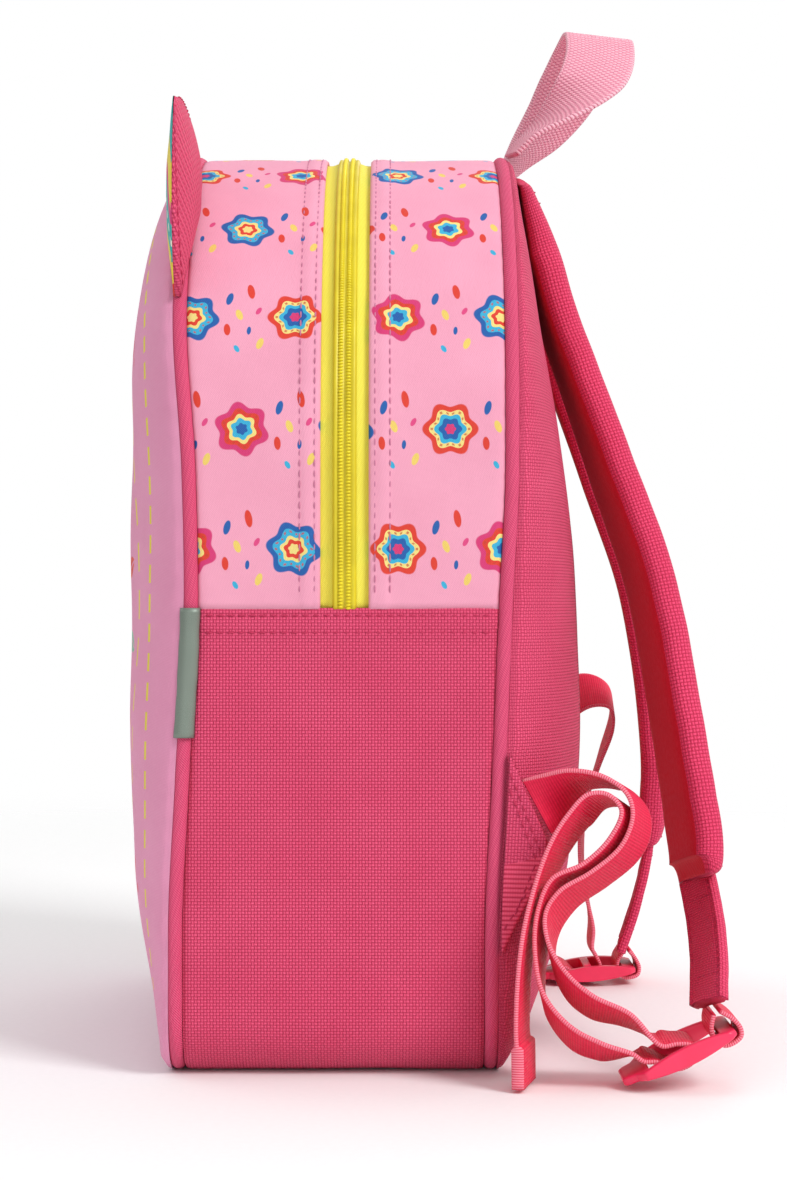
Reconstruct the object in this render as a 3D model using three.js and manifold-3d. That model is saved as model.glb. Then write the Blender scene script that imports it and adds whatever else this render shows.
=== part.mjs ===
// A small child's backpack, standing on its flat bottom and zipped shut.
// Millimetres, +Z up. The printed front panel faces -Y, the padded back and the straps +Y,
// and X runs across the width. The origin is the middle of the bottom.
import * as THREE from 'three';
import { mergeVertices } from 'three/addons/utils/BufferGeometryUtils.js';
import Module from 'manifold-3d';

// Driving dimensions
const gap = 0.3;
const body = { width: 230, height: 310, depth: 104, cornerRadius: 20 };
const wall = { gusset: 1.6, frontPanel: 2.6, backPanel: 6.5, rim: 2.4, tape: 1.2 };
const bulge = { front: 24.3, back: 26.5, flatness: 3, edge: 0.7 };
const piping = { radius: 2.4, proud: 1.1 };
const sleeveOnPiping = { wall: 0.8, clearance: 0.5, bottom: 108, halfAngle: 1.05 };
const zip = { centre: -0.5, tapeShown: 15.3, coilWidth: 7.6, proud: 1.6, tapeUnder: 9, end: 149 };
const slider = { width: 11, height: 3, length: 44 };
const ear = { centreAngle: 46, halfAngle: 18.5, height: 43, lean: 1, puffBack: 6.5, puffFront: 4.5, edge: 0.8 };
const handle = { width: 25, thickness: 2, height: 47, reach: 32, halfLoop: 24 };
const pad = { width: 44, thickness: 9, standOff: 68, splay: 48, topCentre: 27 };
const padSleeve = { width: 26, thickness: 3.6, bow: 1.5, tuck: 2.4, drop: 1.6 };
const webbing = { width: 20, thickness: 1.4 };
const lock = { length: 38, width: 28, thickness: 2.6, rail: 3, tongue: 9, slot: 9, midBar: 3, slotTwo: 12, corner: 2 };
const tab = { top: 103, bottom: 39.5, reach: 13.3, thickness: 2.4, slant: 2, noseLow: 0.45, noseHigh: 0.57 };

const fabric = (colour, roughness = 0.85) =>
  new THREE.MeshStandardMaterial({ color: colour, roughness, metalness: 0 });
const material = {
  pinkCloth: fabric(0xe0406c),
  frontPrint: fabric(0xd584ac),
  sidePrint: fabric(0xf0a5be),
  earPrint: fabric(0x4fb9b4),
  pipingCloth: fabric(0xd93f6a),
  reflective: fabric(0x7c8a7e, 0.4),
  zipTape: fabric(0xf0ec30),
  zipCoil: fabric(0xe8d820, 0.5),
  zipMetal: fabric(0xe9dd2a, 0.35),
  handleWebbing: fabric(0xf0a0b5),
  strapCloth: fabric(0xdd3d66),
  strapWebbing: fabric(0xe8294f),
  lockPlastic: fabric(0xee2a55, 0.35),
};

const wasm = await Module();
wasm.setup();

const backpack = new THREE.Group();

function addPiece(name, geometry, look) {
  const mesh = new THREE.Mesh(geometry, look);
  mesh.name = name;
  backpack.add(mesh);
}

// Closed mesh from vertices and triangles, turned so that its faces point out
function closedGeometry(points, triangles) {
  let volume = 0;
  const cross = new THREE.Vector3();
  for (const [a, b, c] of triangles) {
    volume += points[a].dot(cross.crossVectors(points[b], points[c]));
  }
  const index = triangles.flatMap(([a, b, c]) => (volume > 0 ? [a, b, c] : [a, c, b]));
  const geometry = new THREE.BufferGeometry().setFromPoints(points);
  geometry.setIndex(index);
  return geometry;
}

function solidOf(geometry) {
  const bare = new THREE.BufferGeometry();
  bare.setAttribute('position', geometry.attributes.position);
  bare.setIndex(geometry.index);
  const merged = mergeVertices(bare);
  return new wasm.Manifold(
    new wasm.Mesh({
      numProp: 3,
      vertProperties: new Float32Array(merged.attributes.position.array),
      triVerts: new Uint32Array(merged.index.array),
    }),
  );
}

function geometryOf(solid) {
  const { vertProperties, triVerts } = solid.getMesh();
  const geometry = new THREE.BufferGeometry();
  geometry.setAttribute('position', new THREE.BufferAttribute(vertProperties, 3));
  geometry.setIndex(new THREE.BufferAttribute(triVerts, 1));
  return geometry;
}

// Skin over a row of sections that all have the same number of points. The ends are 'ring',
// where the row closes on itself, 'round', capped about the middle of the end section, or
// 'flat', capped between the section's first half and its second half run backwards. A flat
// row's two sides are split along the same diagonal, so that a twisted ribbon keeps its wall.
function loft(sections, ends = 'flat') {
  const count = sections[0].length;
  const points = sections.flat();
  const triangles = [];
  const last = ends === 'ring' ? sections.length : sections.length - 1;
  for (let i = 0; i < last; i++) {
    const next = (i + 1) % sections.length;
    for (let j = 0; j < count; j++) {
      const k = (j + 1) % count;
      const [a, b] = [i * count + j, i * count + k];
      const [c, d] = [next * count + k, next * count + j];
      if (ends === 'flat' && j >= count / 2) triangles.push([a, b, d], [b, c, d]);
      else triangles.push([a, b, c], [a, c, d]);
    }
  }
  for (const start of ends === 'ring' ? [] : [0, (sections.length - 1) * count]) {
    const cap = [];
    if (ends === 'round') {
      const middle = new THREE.Vector3();
      for (let j = 0; j < count; j++) middle.addScaledVector(points[start + j], 1 / count);
      points.push(middle);
      for (let j = 0; j < count; j++) cap.push([points.length - 1, start + ((j + 1) % count), start + j]);
    } else {
      for (let j = 0; j < count / 2 - 1; j++) {
        const [a, b] = [start + j, start + j + 1];
        const [c, d] = [start + count - 2 - j, start + count - 1 - j];
        cap.push([a, c, b], [a, d, c]);
      }
    }
    triangles.push(...(start === 0 ? cap : cap.map(([a, b, c]) => [a, c, b])));
  }
  return closedGeometry(points, triangles);
}

// Value between the rows of a table, by its first named column
function lookUp(table, key, at, column) {
  const keys = table.map((row) => row[key]);
  const values = table.map((row) => row[column]);
  return new THREE.LinearInterpolant(keys, values, 1).evaluate(at)[0];
}

// The body's outline: straight sides under a half round top, with rounded bottom corners.
// Each point has its outward direction, and inset moves the whole outline inwards.
const archCentre = body.height - body.width / 2;
const leastRadius = 2;

function outlinePoint(x, z, outX, outZ) {
  return { x, z, outX, outZ };
}

function archPoints(inset, steps) {
  const radius = body.width / 2 - inset;
  const points = [];
  for (let i = 0; i <= steps; i++) {
    const angle = (Math.PI * i) / steps;
    const [c, s] = [Math.cos(angle), Math.sin(angle)];
    points.push(outlinePoint(radius * c, archCentre + radius * s, c, s));
  }
  return points;
}

function sidePoints(side, fromZ, toZ, inset, steps) {
  const points = [];
  for (let i = 0; i <= steps; i++) {
    const z = fromZ + ((toZ - fromZ) * i) / steps;
    points.push(outlinePoint(side * (body.width / 2 - inset), z, side, 0));
  }
  return points;
}

function cornerPoints(side, inset, lift, steps) {
  const radius = Math.max(body.cornerRadius - inset, leastRadius);
  const points = [];
  for (let i = 0; i <= steps; i++) {
    const angle = (Math.PI / 2) * (side < 0 ? i / steps : 1 - i / steps);
    const outX = side * Math.cos(angle);
    const outZ = -Math.sin(angle);
    const centreX = side * (body.width / 2 - inset - radius);
    points.push(outlinePoint(centreX + radius * outX, lift + radius + radius * outZ, outX, outZ));
  }
  return points;
}

const steps = { arch: 26, side: 6, corner: 4, bottom: 6 };

// Whole outline, from the right end of the arch over the top and round the bottom
function wholeOutline(inset, lift = inset) {
  const radius = Math.max(body.cornerRadius - inset, leastRadius);
  const cornerTop = lift + radius;
  const bottomEnd = body.width / 2 - inset - radius;
  const bottom = [];
  for (let i = 1; i < steps.bottom; i++) {
    bottom.push(outlinePoint(-bottomEnd + (2 * bottomEnd * i) / steps.bottom, lift, 0, -1));
  }
  return [
    ...archPoints(inset, steps.arch),
    ...sidePoints(-1, archCentre, cornerTop, inset, steps.side).slice(1, -1),
    ...cornerPoints(-1, inset, lift, steps.corner),
    ...bottom,
    ...cornerPoints(1, inset, lift, steps.corner),
    ...sidePoints(1, cornerTop, archCentre, inset, steps.side).slice(1, -1),
  ];
}

// Where the two piped seams run: shares of the body's height, and of half its depth
const seamTable = [
  { height: -0.1, front: 1.04, back: 0.885 },
  { height: 0.15, front: 1.04, back: 0.89 },
  { height: 0.3, front: 1.0, back: 0.93 },
  { height: 0.5, front: 0.945, back: 0.98 },
  { height: 0.62, front: 0.96, back: 1.015 },
  { height: 0.8, front: 1.035, back: 1.02 },
  { height: 1.1, front: 1.04, back: 1.02 },
];

function seamY(face, z) {
  const reach = lookUp(seamTable, 'height', z / body.height, face) * (body.depth / 2);
  return face === 'front' ? -reach : reach;
}

// How far the two panels stand out along their middle line: shares of the height and the bulge
const puffTable = [
  { height: 0.0, front: 0.0, back: 0.0 },
  { height: 0.01, front: 0.22, back: 0.16 },
  { height: 0.06, front: 0.5, back: 0.54 },
  { height: 0.15, front: 0.69, back: 0.83 },
  { height: 0.3, front: 0.88, back: 1.0 },
  { height: 0.45, front: 1.0, back: 0.905 },
  { height: 0.6, front: 0.97, back: 0.675 },
  { height: 0.7, front: 0.82, back: 0.47 },
  { height: 0.8, front: 0.65, back: 0.245 },
  { height: 0.88, front: 0.47, back: 0.1 },
  { height: 0.95, front: 0.19, back: 0.02 },
  { height: 1.0, front: 0.0, back: 0.0 },
];

function halfWidthAt(z) {
  const half = body.width / 2;
  if (z > archCentre) return Math.sqrt(Math.max(half ** 2 - (z - archCentre) ** 2, 0));
  const r = body.cornerRadius;
  if (z < r) return half - r + Math.sqrt(Math.max(r ** 2 - (r - z) ** 2, 0));
  return half;
}

function puffAt(face, x, z) {
  const middle = lookUp(puffTable, 'height', z / body.height, face) * bulge[face];
  const across = Math.min(Math.abs(x) / Math.max(halfWidthAt(z), 1), 1);
  return middle * (1 - across ** bulge.flatness) ** bulge.edge;
}

const rimOffset = piping.radius + 2 * gap;

function panelY(face, x, z) {
  const side = face === 'front' ? -1 : 1;
  return seamY(face, z) + side * (rimOffset + wall.rim + puffAt(face, x, z));
}

// A bulged panel is a wall between two skins over nested outlines
const panelInsets = [0, 2.5, 7, 14, 24, 38, 56, 78];

function panelGeometry(face, wallAt) {
  const side = face === 'front' ? -1 : 1;
  const rings = panelInsets.map((inset) => wholeOutline(inset));
  const outer = [];
  const inner = [];
  rings.forEach((ring, k) => {
    const outerRing = ring.map((p) => new THREE.Vector3(p.x, panelY(face, p.x, p.z), p.z));
    const innerRing = outerRing.map((p, j) => {
      const rimY = seamY(face, p.z) + side * rimOffset;
      if (k === 0) return new THREE.Vector3(p.x, rimY, p.z);
      const before = outer[k - 1][j];
      const inward = Math.hypot(p.x - before.x, p.z - before.z);
      const rise = Math.abs(p.y - before.y);
      const slope = Math.hypot(inward, rise);
      const thick = wallAt(panelInsets[k]);
      const q = wholeOutline(panelInsets[k] + (thick * rise) / slope)[j];
      const y = p.y - (side * thick * inward) / slope;
      return new THREE.Vector3(q.x, side * Math.max(side * y, side * rimY), q.z);
    });
    outer.push(outerRing);
    inner.push(innerRing);
  });
  const skins = [...outer.reverse(), ...inner];
  return loft(skins, 'round');
}

addPiece('front_panel', panelGeometry('front', () => wall.frontPanel), material.frontPrint);
// The padding thickens inwards from the rim
const padSlope = 0.35;
const padAt = (inset) => Math.min(wall.rim + inset * padSlope, wall.backPanel);
addPiece('back_panel', panelGeometry('back', padAt), material.pinkCloth);

// Flat strips that follow the outline, between two lines across the depth
function stripGeometry(points, fromY, toY, top, bottom) {
  return loft(
    points.map((p) => {
      const at = (y, out) => new THREE.Vector3(p.x + p.outX * out, y, p.z + p.outZ * out);
      const [y0, y1] = [fromY(p.z), toY(p.z)];
      return [at(y0, top), at(y1, top), at(y1, bottom), at(y0, bottom)];
    }),
  );
}

function overTheTop(inset, endZ) {
  return [
    ...sidePoints(1, endZ, archCentre, inset, 2).slice(0, -1),
    ...archPoints(inset, steps.arch),
    ...sidePoints(-1, archCentre, endZ, inset, 2).slice(1),
  ];
}

function roundTheBottom(endZ) {
  return [
    ...sidePoints(-1, endZ, body.cornerRadius, 0, 6).slice(0, -1),
    ...cornerPoints(-1, 0, 0, 6),
    ...cornerPoints(1, 0, 0, 6),
    ...sidePoints(1, body.cornerRadius, endZ, 0, 6).slice(1),
  ];
}

const frontEdge = (z) => seamY('front', z) + rimOffset;
const backEdge = (z) => seamY('back', z) - rimOffset;
const tapeFrontEdge = zip.centre - zip.tapeShown / 2;
const tapeBackEdge = zip.centre + zip.tapeShown / 2;
const upperEnd = zip.end + gap;

const upper = overTheTop(0, upperEnd);
addPiece(
  'upper_gusset_front',
  stripGeometry(upper, frontEdge, () => tapeFrontEdge, 0, -wall.gusset),
  material.sidePrint,
);
addPiece(
  'upper_gusset_back',
  stripGeometry(upper, () => tapeBackEdge, backEdge, 0, -wall.gusset),
  material.sidePrint,
);
addPiece(
  'lower_gusset',
  stripGeometry(roundTheBottom(zip.end), frontEdge, backEdge, 0, -wall.gusset),
  material.pinkCloth,
);

// The zip: two tapes under the folded edges of the printed strips, and the coil over both
const tapeTop = -wall.gusset - gap;
const tapeBottom = tapeTop - wall.tape;
const tapeMiddle = { front: zip.centre - gap / 2, back: zip.centre + gap / 2 };
addPiece(
  'zip_tape_front',
  stripGeometry(upper, () => tapeFrontEdge - zip.tapeUnder, () => tapeMiddle.front, tapeTop, tapeBottom),
  material.zipTape,
);
addPiece(
  'zip_tape_back',
  stripGeometry(upper, () => tapeMiddle.back, () => tapeBackEdge + zip.tapeUnder, tapeTop, tapeBottom),
  material.zipTape,
);

// Two ridges with a groove between them: shares of half the coil's width and of its height
const coilSection = [
  { across: -1.0, up: 0.7 },
  { across: -0.55, up: 1.0 },
  { across: 0.0, up: 0.75 },
  { across: 0.55, up: 1.0 },
  { across: 1.0, up: 0.7 },
  { across: 1.0, up: 0.0 },
  { across: 0.55, up: 0.0 },
  { across: 0.0, up: 0.0 },
  { across: -0.55, up: 0.0 },
  { across: -1.0, up: 0.0 },
];
const coilBase = tapeTop + gap;
const coilSections = upper.map((p) =>
  coilSection.map(({ across, up }) => {
    const out = coilBase + (zip.proud - coilBase) * up;
    const y = zip.centre + (across * zip.coilWidth) / 2;
    return new THREE.Vector3(p.x + p.outX * out, y, p.z + p.outZ * out);
  }),
);
addPiece('zip_coil', loft(coilSections), material.zipCoil);

// Slider and its puller at the left end of the zip, as one plain piece hanging down the side.
// Shares of the length from the top, the widest width, and the height over the coil.
const sliderTable = [
  { down: 0.0, width: 0.8, low: 0.0, high: 0.8 },
  { down: 0.07, width: 1.0, low: 0.0, high: 1.0 },
  { down: 0.24, width: 0.9, low: 0.0, high: 1.0 },
  { down: 0.31, width: 0.7, low: 0.0, high: 0.8 },
  { down: 0.36, width: 0.4, low: 0.15, high: 0.62 },
  { down: 0.44, width: 0.4, low: 0.15, high: 0.62 },
  { down: 0.47, width: 0.75, low: 0.15, high: 0.62 },
  { down: 0.92, width: 0.77, low: 0.15, high: 0.62 },
  { down: 1.0, width: 0.45, low: 0.15, high: 0.62 },
];
const sliderBase = zip.proud + gap;
const sliderTop = zip.end + slider.length * 0.5;
addPiece(
  'zip_slider',
  loft(
    sliderTable.map(({ down, width, low, high }) => {
      const z = sliderTop - down * slider.length;
      const half = (width * slider.width) / 2;
      const x0 = -(body.width / 2 + sliderBase + low * slider.height);
      const x1 = -(body.width / 2 + sliderBase + high * slider.height);
      return [
        new THREE.Vector3(x0, zip.centre - half, z),
        new THREE.Vector3(x0, zip.centre + half, z),
        new THREE.Vector3(x1, zip.centre + half, z),
        new THREE.Vector3(x1, zip.centre - half, z),
      ];
    }),
  ),
  material.zipMetal,
);

// Covered cord sewn into both seams. It stands a little proud of the sides but not of the bottom.
const pipingInset = piping.radius - piping.proud;
const pipingLine = wholeOutline(pipingInset, piping.radius);
const pipingSides = 7;

function roundSection(p, y, radius, sides, fromAngle = 0, toAngle = 2 * Math.PI) {
  const section = [];
  for (let i = 0; i < sides; i++) {
    const angle = fromAngle + ((toAngle - fromAngle) * i) / sides;
    const out = radius * Math.cos(angle);
    section.push(new THREE.Vector3(p.x + p.outX * out, y + radius * Math.sin(angle), p.z + p.outZ * out));
  }
  return section;
}

for (const face of ['front', 'back']) {
  const sections = pipingLine.map((p) => roundSection(p, seamY(face, p.z), piping.radius, pipingSides));
  addPiece(`${face}_piping`, loft(sections, 'ring'), material.pipingCloth);
}

// Reflective strip folded over the front piping on each side, just under the end of the zip
function bandSection(p, y) {
  const inner = [];
  const outer = [];
  for (let i = 0; i <= 4; i++) {
    const angle = sleeveOnPiping.halfAngle * (i / 2 - 1);
    const at = (r) =>
      new THREE.Vector3(
        p.x + p.outX * r * Math.cos(angle),
        y + r * Math.sin(angle),
        p.z + p.outZ * r * Math.cos(angle),
      );
    inner.push(at(piping.radius + sleeveOnPiping.clearance));
    outer.push(at(piping.radius + sleeveOnPiping.clearance + sleeveOnPiping.wall));
  }
  return [...outer, ...inner.reverse()];
}

for (const [name, side] of [['right', 1], ['left', -1]]) {
  const line = sidePoints(side, sleeveOnPiping.bottom, zip.end, pipingInset, 4);
  const sections = line.map((p) => bandSection(p, seamY('front', p.z)));
  addPiece(`reflective_sleeve_${name}`, loft(sections), material.reflective);
}

// Ears on the shoulders of the front seam: a puffed cloth back and a flatter printed front.
// Shares of the height, of the base's width and of the puff.
const earTable = [
  { up: 0.0, width: 1.0, puff: 0.3 },
  { up: 0.12, width: 0.97, puff: 0.75 },
  { up: 0.3, width: 0.88, puff: 1.0 },
  { up: 0.5, width: 0.72, puff: 1.0 },
  { up: 0.7, width: 0.5, puff: 0.85 },
  { up: 0.87, width: 0.28, puff: 0.55 },
  { up: 1.0, width: 0.07, puff: 0.15 },
];
const earSpan = [-1, -0.72, -0.38, 0, 0.38, 0.72, 1];

function earGeometry(side, face) {
  const base = body.width / 2 + piping.proud + 2 * gap;
  const toRadians = Math.PI / 180;
  const centre = ear.centreAngle * toRadians;
  const facing = face === 'back' ? 1 : -1;
  const puffSize = face === 'back' ? ear.puffBack : ear.puffFront;
  const sections = earTable.map(({ up, width, puff }) => {
    const point = (share, bow) => {
      const angle = centre + share * width * ear.halfAngle * toRadians;
      const lift = base + up * ear.height * (1 - 0.05 * share * share);
      const lean = up * ear.lean * toRadians;
      const x = side * (lift * Math.cos(angle + lean));
      const z = archCentre + lift * Math.sin(angle + lean);
      return new THREE.Vector3(x, seamY('front', body.height * 0.9) + facing * bow, z);
    };
    const mid = earSpan.map((share) => point(share, gap / 2));
    const puffed = earSpan.map((share) => point(share, gap + ear.edge + puffSize * puff * (1 - share ** 2) ** 0.6));
    return [...puffed, ...mid.reverse()];
  });
  return loft(sections);
}

for (const [name, side] of [['right', 1], ['left', -1]]) {
  addPiece(`ear_back_${name}`, earGeometry(side, 'back'), material.pinkCloth);
  addPiece(`ear_front_${name}`, earGeometry(side, 'front'), material.earPrint);
}

// Sweep of a flat section along a route. Each row of the route gives a place and the direction
// that the width runs in; from and to say where the route lies across the width.
function sweep(route, { width, thickness, from = -0.5, to = 0.5, below = 0.5, section, perRow = 3 }) {
  const places = new THREE.CatmullRomCurve3(route.map((row) => row.place), false, 'centripetal');
  const acrosses = new THREE.CatmullRomCurve3(route.map((row) => row.across), false, 'centripetal');
  const total = (route.length - 1) * perRow;
  const sections = [];
  for (let i = 0; i <= total; i++) {
    const t = i / total;
    const place = places.getPoint(t);
    const along = places.getTangent(t);
    const across = acrosses.getPoint(t).normalize();
    const out = new THREE.Vector3().crossVectors(across, along).normalize();
    const row = Math.min(Math.floor(t * (route.length - 1)), route.length - 2);
    const within = t * (route.length - 1) - row;
    const fat = THREE.MathUtils.lerp(route[row].fat ?? 1, route[row + 1].fat ?? 1, within);
    sections.push(
      section.map(({ side, rise }) =>
        place
          .clone()
          .addScaledVector(across, width * THREE.MathUtils.lerp(from, to, side))
          .addScaledVector(out, thickness * fat * (rise - below)),
      ),
    );
  }
  return loft(sections);
}

const flatSection = [
  { side: 0, rise: 0 },
  { side: 1, rise: 0 },
  { side: 1, rise: 1 },
  { side: 0, rise: 1 },
];
const paddedSection = [
  { side: 0.0, rise: 0.35 },
  { side: 0.035, rise: 0.1 },
  { side: 0.12, rise: 0.0 },
  { side: 0.88, rise: 0.0 },
  { side: 0.965, rise: 0.1 },
  { side: 1.0, rise: 0.35 },
  { side: 1.0, rise: 0.65 },
  { side: 0.965, rise: 0.9 },
  { side: 0.88, rise: 1.0 },
  { side: 0.12, rise: 1.0 },
  { side: 0.035, rise: 0.9 },
  { side: 0.0, rise: 0.65 },
];

// Grab handle: a loop of webbing sewn flat into the back seam, which twists as it leans back.
// x is a share of half the loop, back and up of its reach and height over the seam at the top,
// and turn is the angle of the width from across the bag towards front to back.
const handleTable = [
  { x: 0.62, back: 0.06, up: 0.0, turn: 6 },
  { x: 0.8, back: 0.23, up: 0.11, turn: 14 },
  { x: 0.95, back: 0.5, up: 0.23, turn: 30 },
  { x: 1.0, back: 0.76, up: 0.38, turn: 55 },
  { x: 0.92, back: 0.95, up: 0.55, turn: 82 },
  { x: 0.65, back: 1.05, up: 0.74, turn: 90 },
  { x: 0.3, back: 1.07, up: 0.92, turn: 90 },
  { x: -0.05, back: 1.05, up: 0.97, turn: 90 },
  { x: -0.4, back: 0.98, up: 0.9, turn: 90 },
  { x: -0.72, back: 0.84, up: 0.72, turn: 96 },
  { x: -0.92, back: 0.66, up: 0.5, turn: 118 },
  { x: -0.98, back: 0.43, up: 0.29, turn: 138 },
  { x: -0.85, back: 0.2, up: 0.12, turn: 160 },
  { x: -0.62, back: 0.06, up: 0.0, turn: 174 },
];
const handleFoot = { side: handleTable[0].x * handle.halfLoop, rise: handle.thickness };
const handleBase = new THREE.Vector3(
  0,
  seamY('back', body.height) + piping.radius,
  archCentre + Math.sqrt((body.width / 2) ** 2 - handleFoot.side ** 2) + handleFoot.rise,
);
const handleRoute = handleTable.map(({ x, back, up, turn }) => {
  const angle = (turn * Math.PI) / 180;
  const dip = -0.12 * Math.sin(angle) - (0.13 * Math.sign(x) * Math.cos(angle)) / (1 + 20 * up);
  return {
    place: new THREE.Vector3(x * handle.halfLoop, back * handle.reach, up * handle.height).add(handleBase),
    across: new THREE.Vector3(Math.cos(angle), Math.sin(angle), dip),
  };
});
addPiece(
  'grab_handle',
  sweep(handleRoute, { width: handle.width, thickness: handle.thickness, section: flatSection, perRow: 3 }),
  material.handleWebbing,
);

// Shoulder straps: the line down the middle of the outer face. up is a share of the body's
// height, back of the stand-off from the back seam, x of the splay, and sway is how much of
// the left strap's extra bow it has.
const strapTable = [
  { up: 0.972, back: 0.115, x: 0.0, fat: 0.35, turn: 0.0, tip: -0.24, sway: 0.0 },
  { up: 0.94, back: 0.175, x: 0.02, fat: 0.6, turn: 0.0, tip: -0.15, sway: 0.0 },
  { up: 0.88, back: 0.27, x: 0.06, fat: 1, turn: 0.02, tip: 0.0, sway: 0.0 },
  { up: 0.815, back: 0.36, x: 0.12, fat: 1, turn: 0.05, tip: 0.05, sway: 0.1 },
  { up: 0.715, back: 0.51, x: 0.26, fat: 1, turn: 0.08, tip: 0.1, sway: 0.3 },
  { up: 0.64, back: 0.62, x: 0.38, fat: 1, turn: 0.1, tip: 0.15, sway: 0.5 },
  { up: 0.53, back: 0.77, x: 0.54, fat: 1, turn: 0.13, tip: 0.2, sway: 0.8 },
  { up: 0.45, back: 0.83, x: 0.66, fat: 1, turn: 0.16, tip: 0.2, sway: 0.95 },
  { up: 0.36, back: 0.88, x: 0.78, fat: 1, turn: 0.18, tip: 0.2, sway: 1.0 },
  { up: 0.27, back: 0.93, x: 0.9, fat: 1, turn: 0.2, tip: 0.2, sway: 0.75 },
  { up: 0.205, back: 0.965, x: 0.99, fat: 1, turn: 0.2, tip: 0.2, sway: 0.2 },
  { up: 0.185, back: 0.955, x: 1.02, fat: 0.55, turn: 0.2, tip: 0.2, sway: 0.0 },
];
const leftBow = 6;
const backSeam = seamY('back', body.height);
const strapClear = 0.8;

function strapRoute(side) {
  return strapTable.map(({ up, back, x, fat, turn, tip, sway }) => {
    const z = up * body.height;
    const across = side * (pad.topCentre + x * pad.splay);
    const bow = side < 0 ? leftBow * sway : 0;
    const onPanel = panelY('back', across, z) + pad.thickness * fat + strapClear;
    return {
      place: new THREE.Vector3(across, Math.max(backSeam + back * pad.standOff + bow, onPanel), z),
      across: new THREE.Vector3(1, side * turn, side * tip),
      fat,
    };
  });
}

// Flat stitched sleeve from the pad's end to the webbing: from the middle of the pad's end to
// just above the loop round the lock's fixed bar, bowed a little on the way
function sleeveRoute({ side, turn, tip }, padEnd, lockEnd) {
  const rows = [0, 0.33, 0.67, 1];
  return rows.map((share) => {
    const place = padEnd.clone().lerp(lockEnd, share);
    place.y += Math.sin(Math.PI * share) * padSleeve.bow;
    return { place, across: new THREE.Vector3(1, side * turn, side * tip) };
  });
}

// Each side's lock: where its tongue's end lies, how it is tilted, and how the sleeve above it
// turns. turn and tip are how far the width leans back and up for each unit across.
const locks = {
  right: { side: 1, out: 0.45, back: 0.5, clear: 2.4, tilt: 26, turn: 0.28, tip: 0.3 },
  left: { side: -1, out: -2, back: 0.294, clear: 3.2, tilt: 5, turn: 0.12, tip: 0.1 },
};

// A place beside the bag, in the shares that the webbing's tables use
function besideBody(side, out, back, up) {
  return new THREE.Vector3(
    side * (body.width / 2 + out * webbing.width),
    body.depth / 2 + back * pad.standOff,
    up * tab.top,
  );
}

function lockFrame({ side, out, back, clear, tilt }) {
  const angle = (tilt * Math.PI) / 180;
  const along = new THREE.Vector3(0, Math.cos(angle), Math.sin(angle));
  const up = new THREE.Vector3(0, -Math.sin(angle), Math.cos(angle));
  const origin = besideBody(side, out, back, 0);
  origin.z = clear;
  return (u, v) => origin.clone().addScaledVector(along, u).addScaledVector(up, v);
}

// Ladder lock: a flat plate with a narrow tongue, two slots and the bars between them
const slotOne = { from: lock.tongue, to: lock.tongue + lock.slot };
const slotTwo = { from: slotOne.to + lock.midBar, to: slotOne.to + lock.midBar + lock.slotTwo };

// Half of the plate's outline, from the tongue's end: along as shares of the tongue from its end
// and of the corner from the far end, and shares of half the width
const lockOutline = [
  { from: 'tongue', at: 0, half: 0.51 },
  { from: 'tongue', at: 0.22, half: 0.64 },
  { from: 'tongue', at: 0.56, half: 0.71 },
  { from: 'tongue', at: 0.89, half: 1 },
  { from: 'end', at: 1, half: 1 },
  { from: 'end', at: 0, half: 'corner' },
];

function lockGeometry(frame) {
  const half = lock.width / 2;
  const side = lockOutline.map(({ from, at, half: share }) => [
    from === 'tongue' ? at * lock.tongue : lock.length - at * lock.corner,
    share === 'corner' ? half - lock.corner : share * half,
  ]);
  const shape = new THREE.Shape();
  shape.moveTo(side[0][0], -side[0][1]);
  for (const [u, v] of side.slice(1)) shape.lineTo(u, -v);
  for (const [u, v] of side.reverse()) shape.lineTo(u, v);
  let plate = solidOf(new THREE.ExtrudeGeometry(shape, { depth: lock.thickness, bevelEnabled: false }));
  for (const { from, to } of [slotOne, slotTwo]) {
    const opening = new THREE.BoxGeometry(to - from, lock.width - 2 * lock.rail, lock.thickness * 2);
    opening.translate((from + to) / 2, 0, lock.thickness / 2);
    plate = plate.subtract(solidOf(opening));
  }
  const along = frame(1, 0).sub(frame(0, 0));
  const up = frame(0, 1).sub(frame(0, 0));
  const across = new THREE.Vector3().crossVectors(up, along);
  const place = new THREE.Matrix4().makeBasis(along, across, up);
  place.setPosition(frame(0, -lock.thickness / 2));
  return geometryOf(plate).applyMatrix4(place);
}

// Short loop of webbing from the sleeve round the lock's fixed bar, from the bar's middle. In this
// and the wraps below, along is a share of the lock's length and rise of its thickness.
const barMiddle = (slotTwo.to + lock.length) / 2;
const barLoop = [
  { along: -0.034, rise: 2.769 },
  { along: -0.1, rise: 1.385 },
  { along: -0.111, rise: 0 },
  { along: -0.068, rise: -1.038 },
  { along: 0.005, rise: -1.269 },
  { along: 0.089, rise: -0.923 },
  { along: 0.113, rise: 0.077 },
  { along: 0.084, rise: 1.462 },
  { along: 0.024, rise: 2.769 },
];
const loopTop = barLoop[0].rise * lock.thickness;

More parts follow.
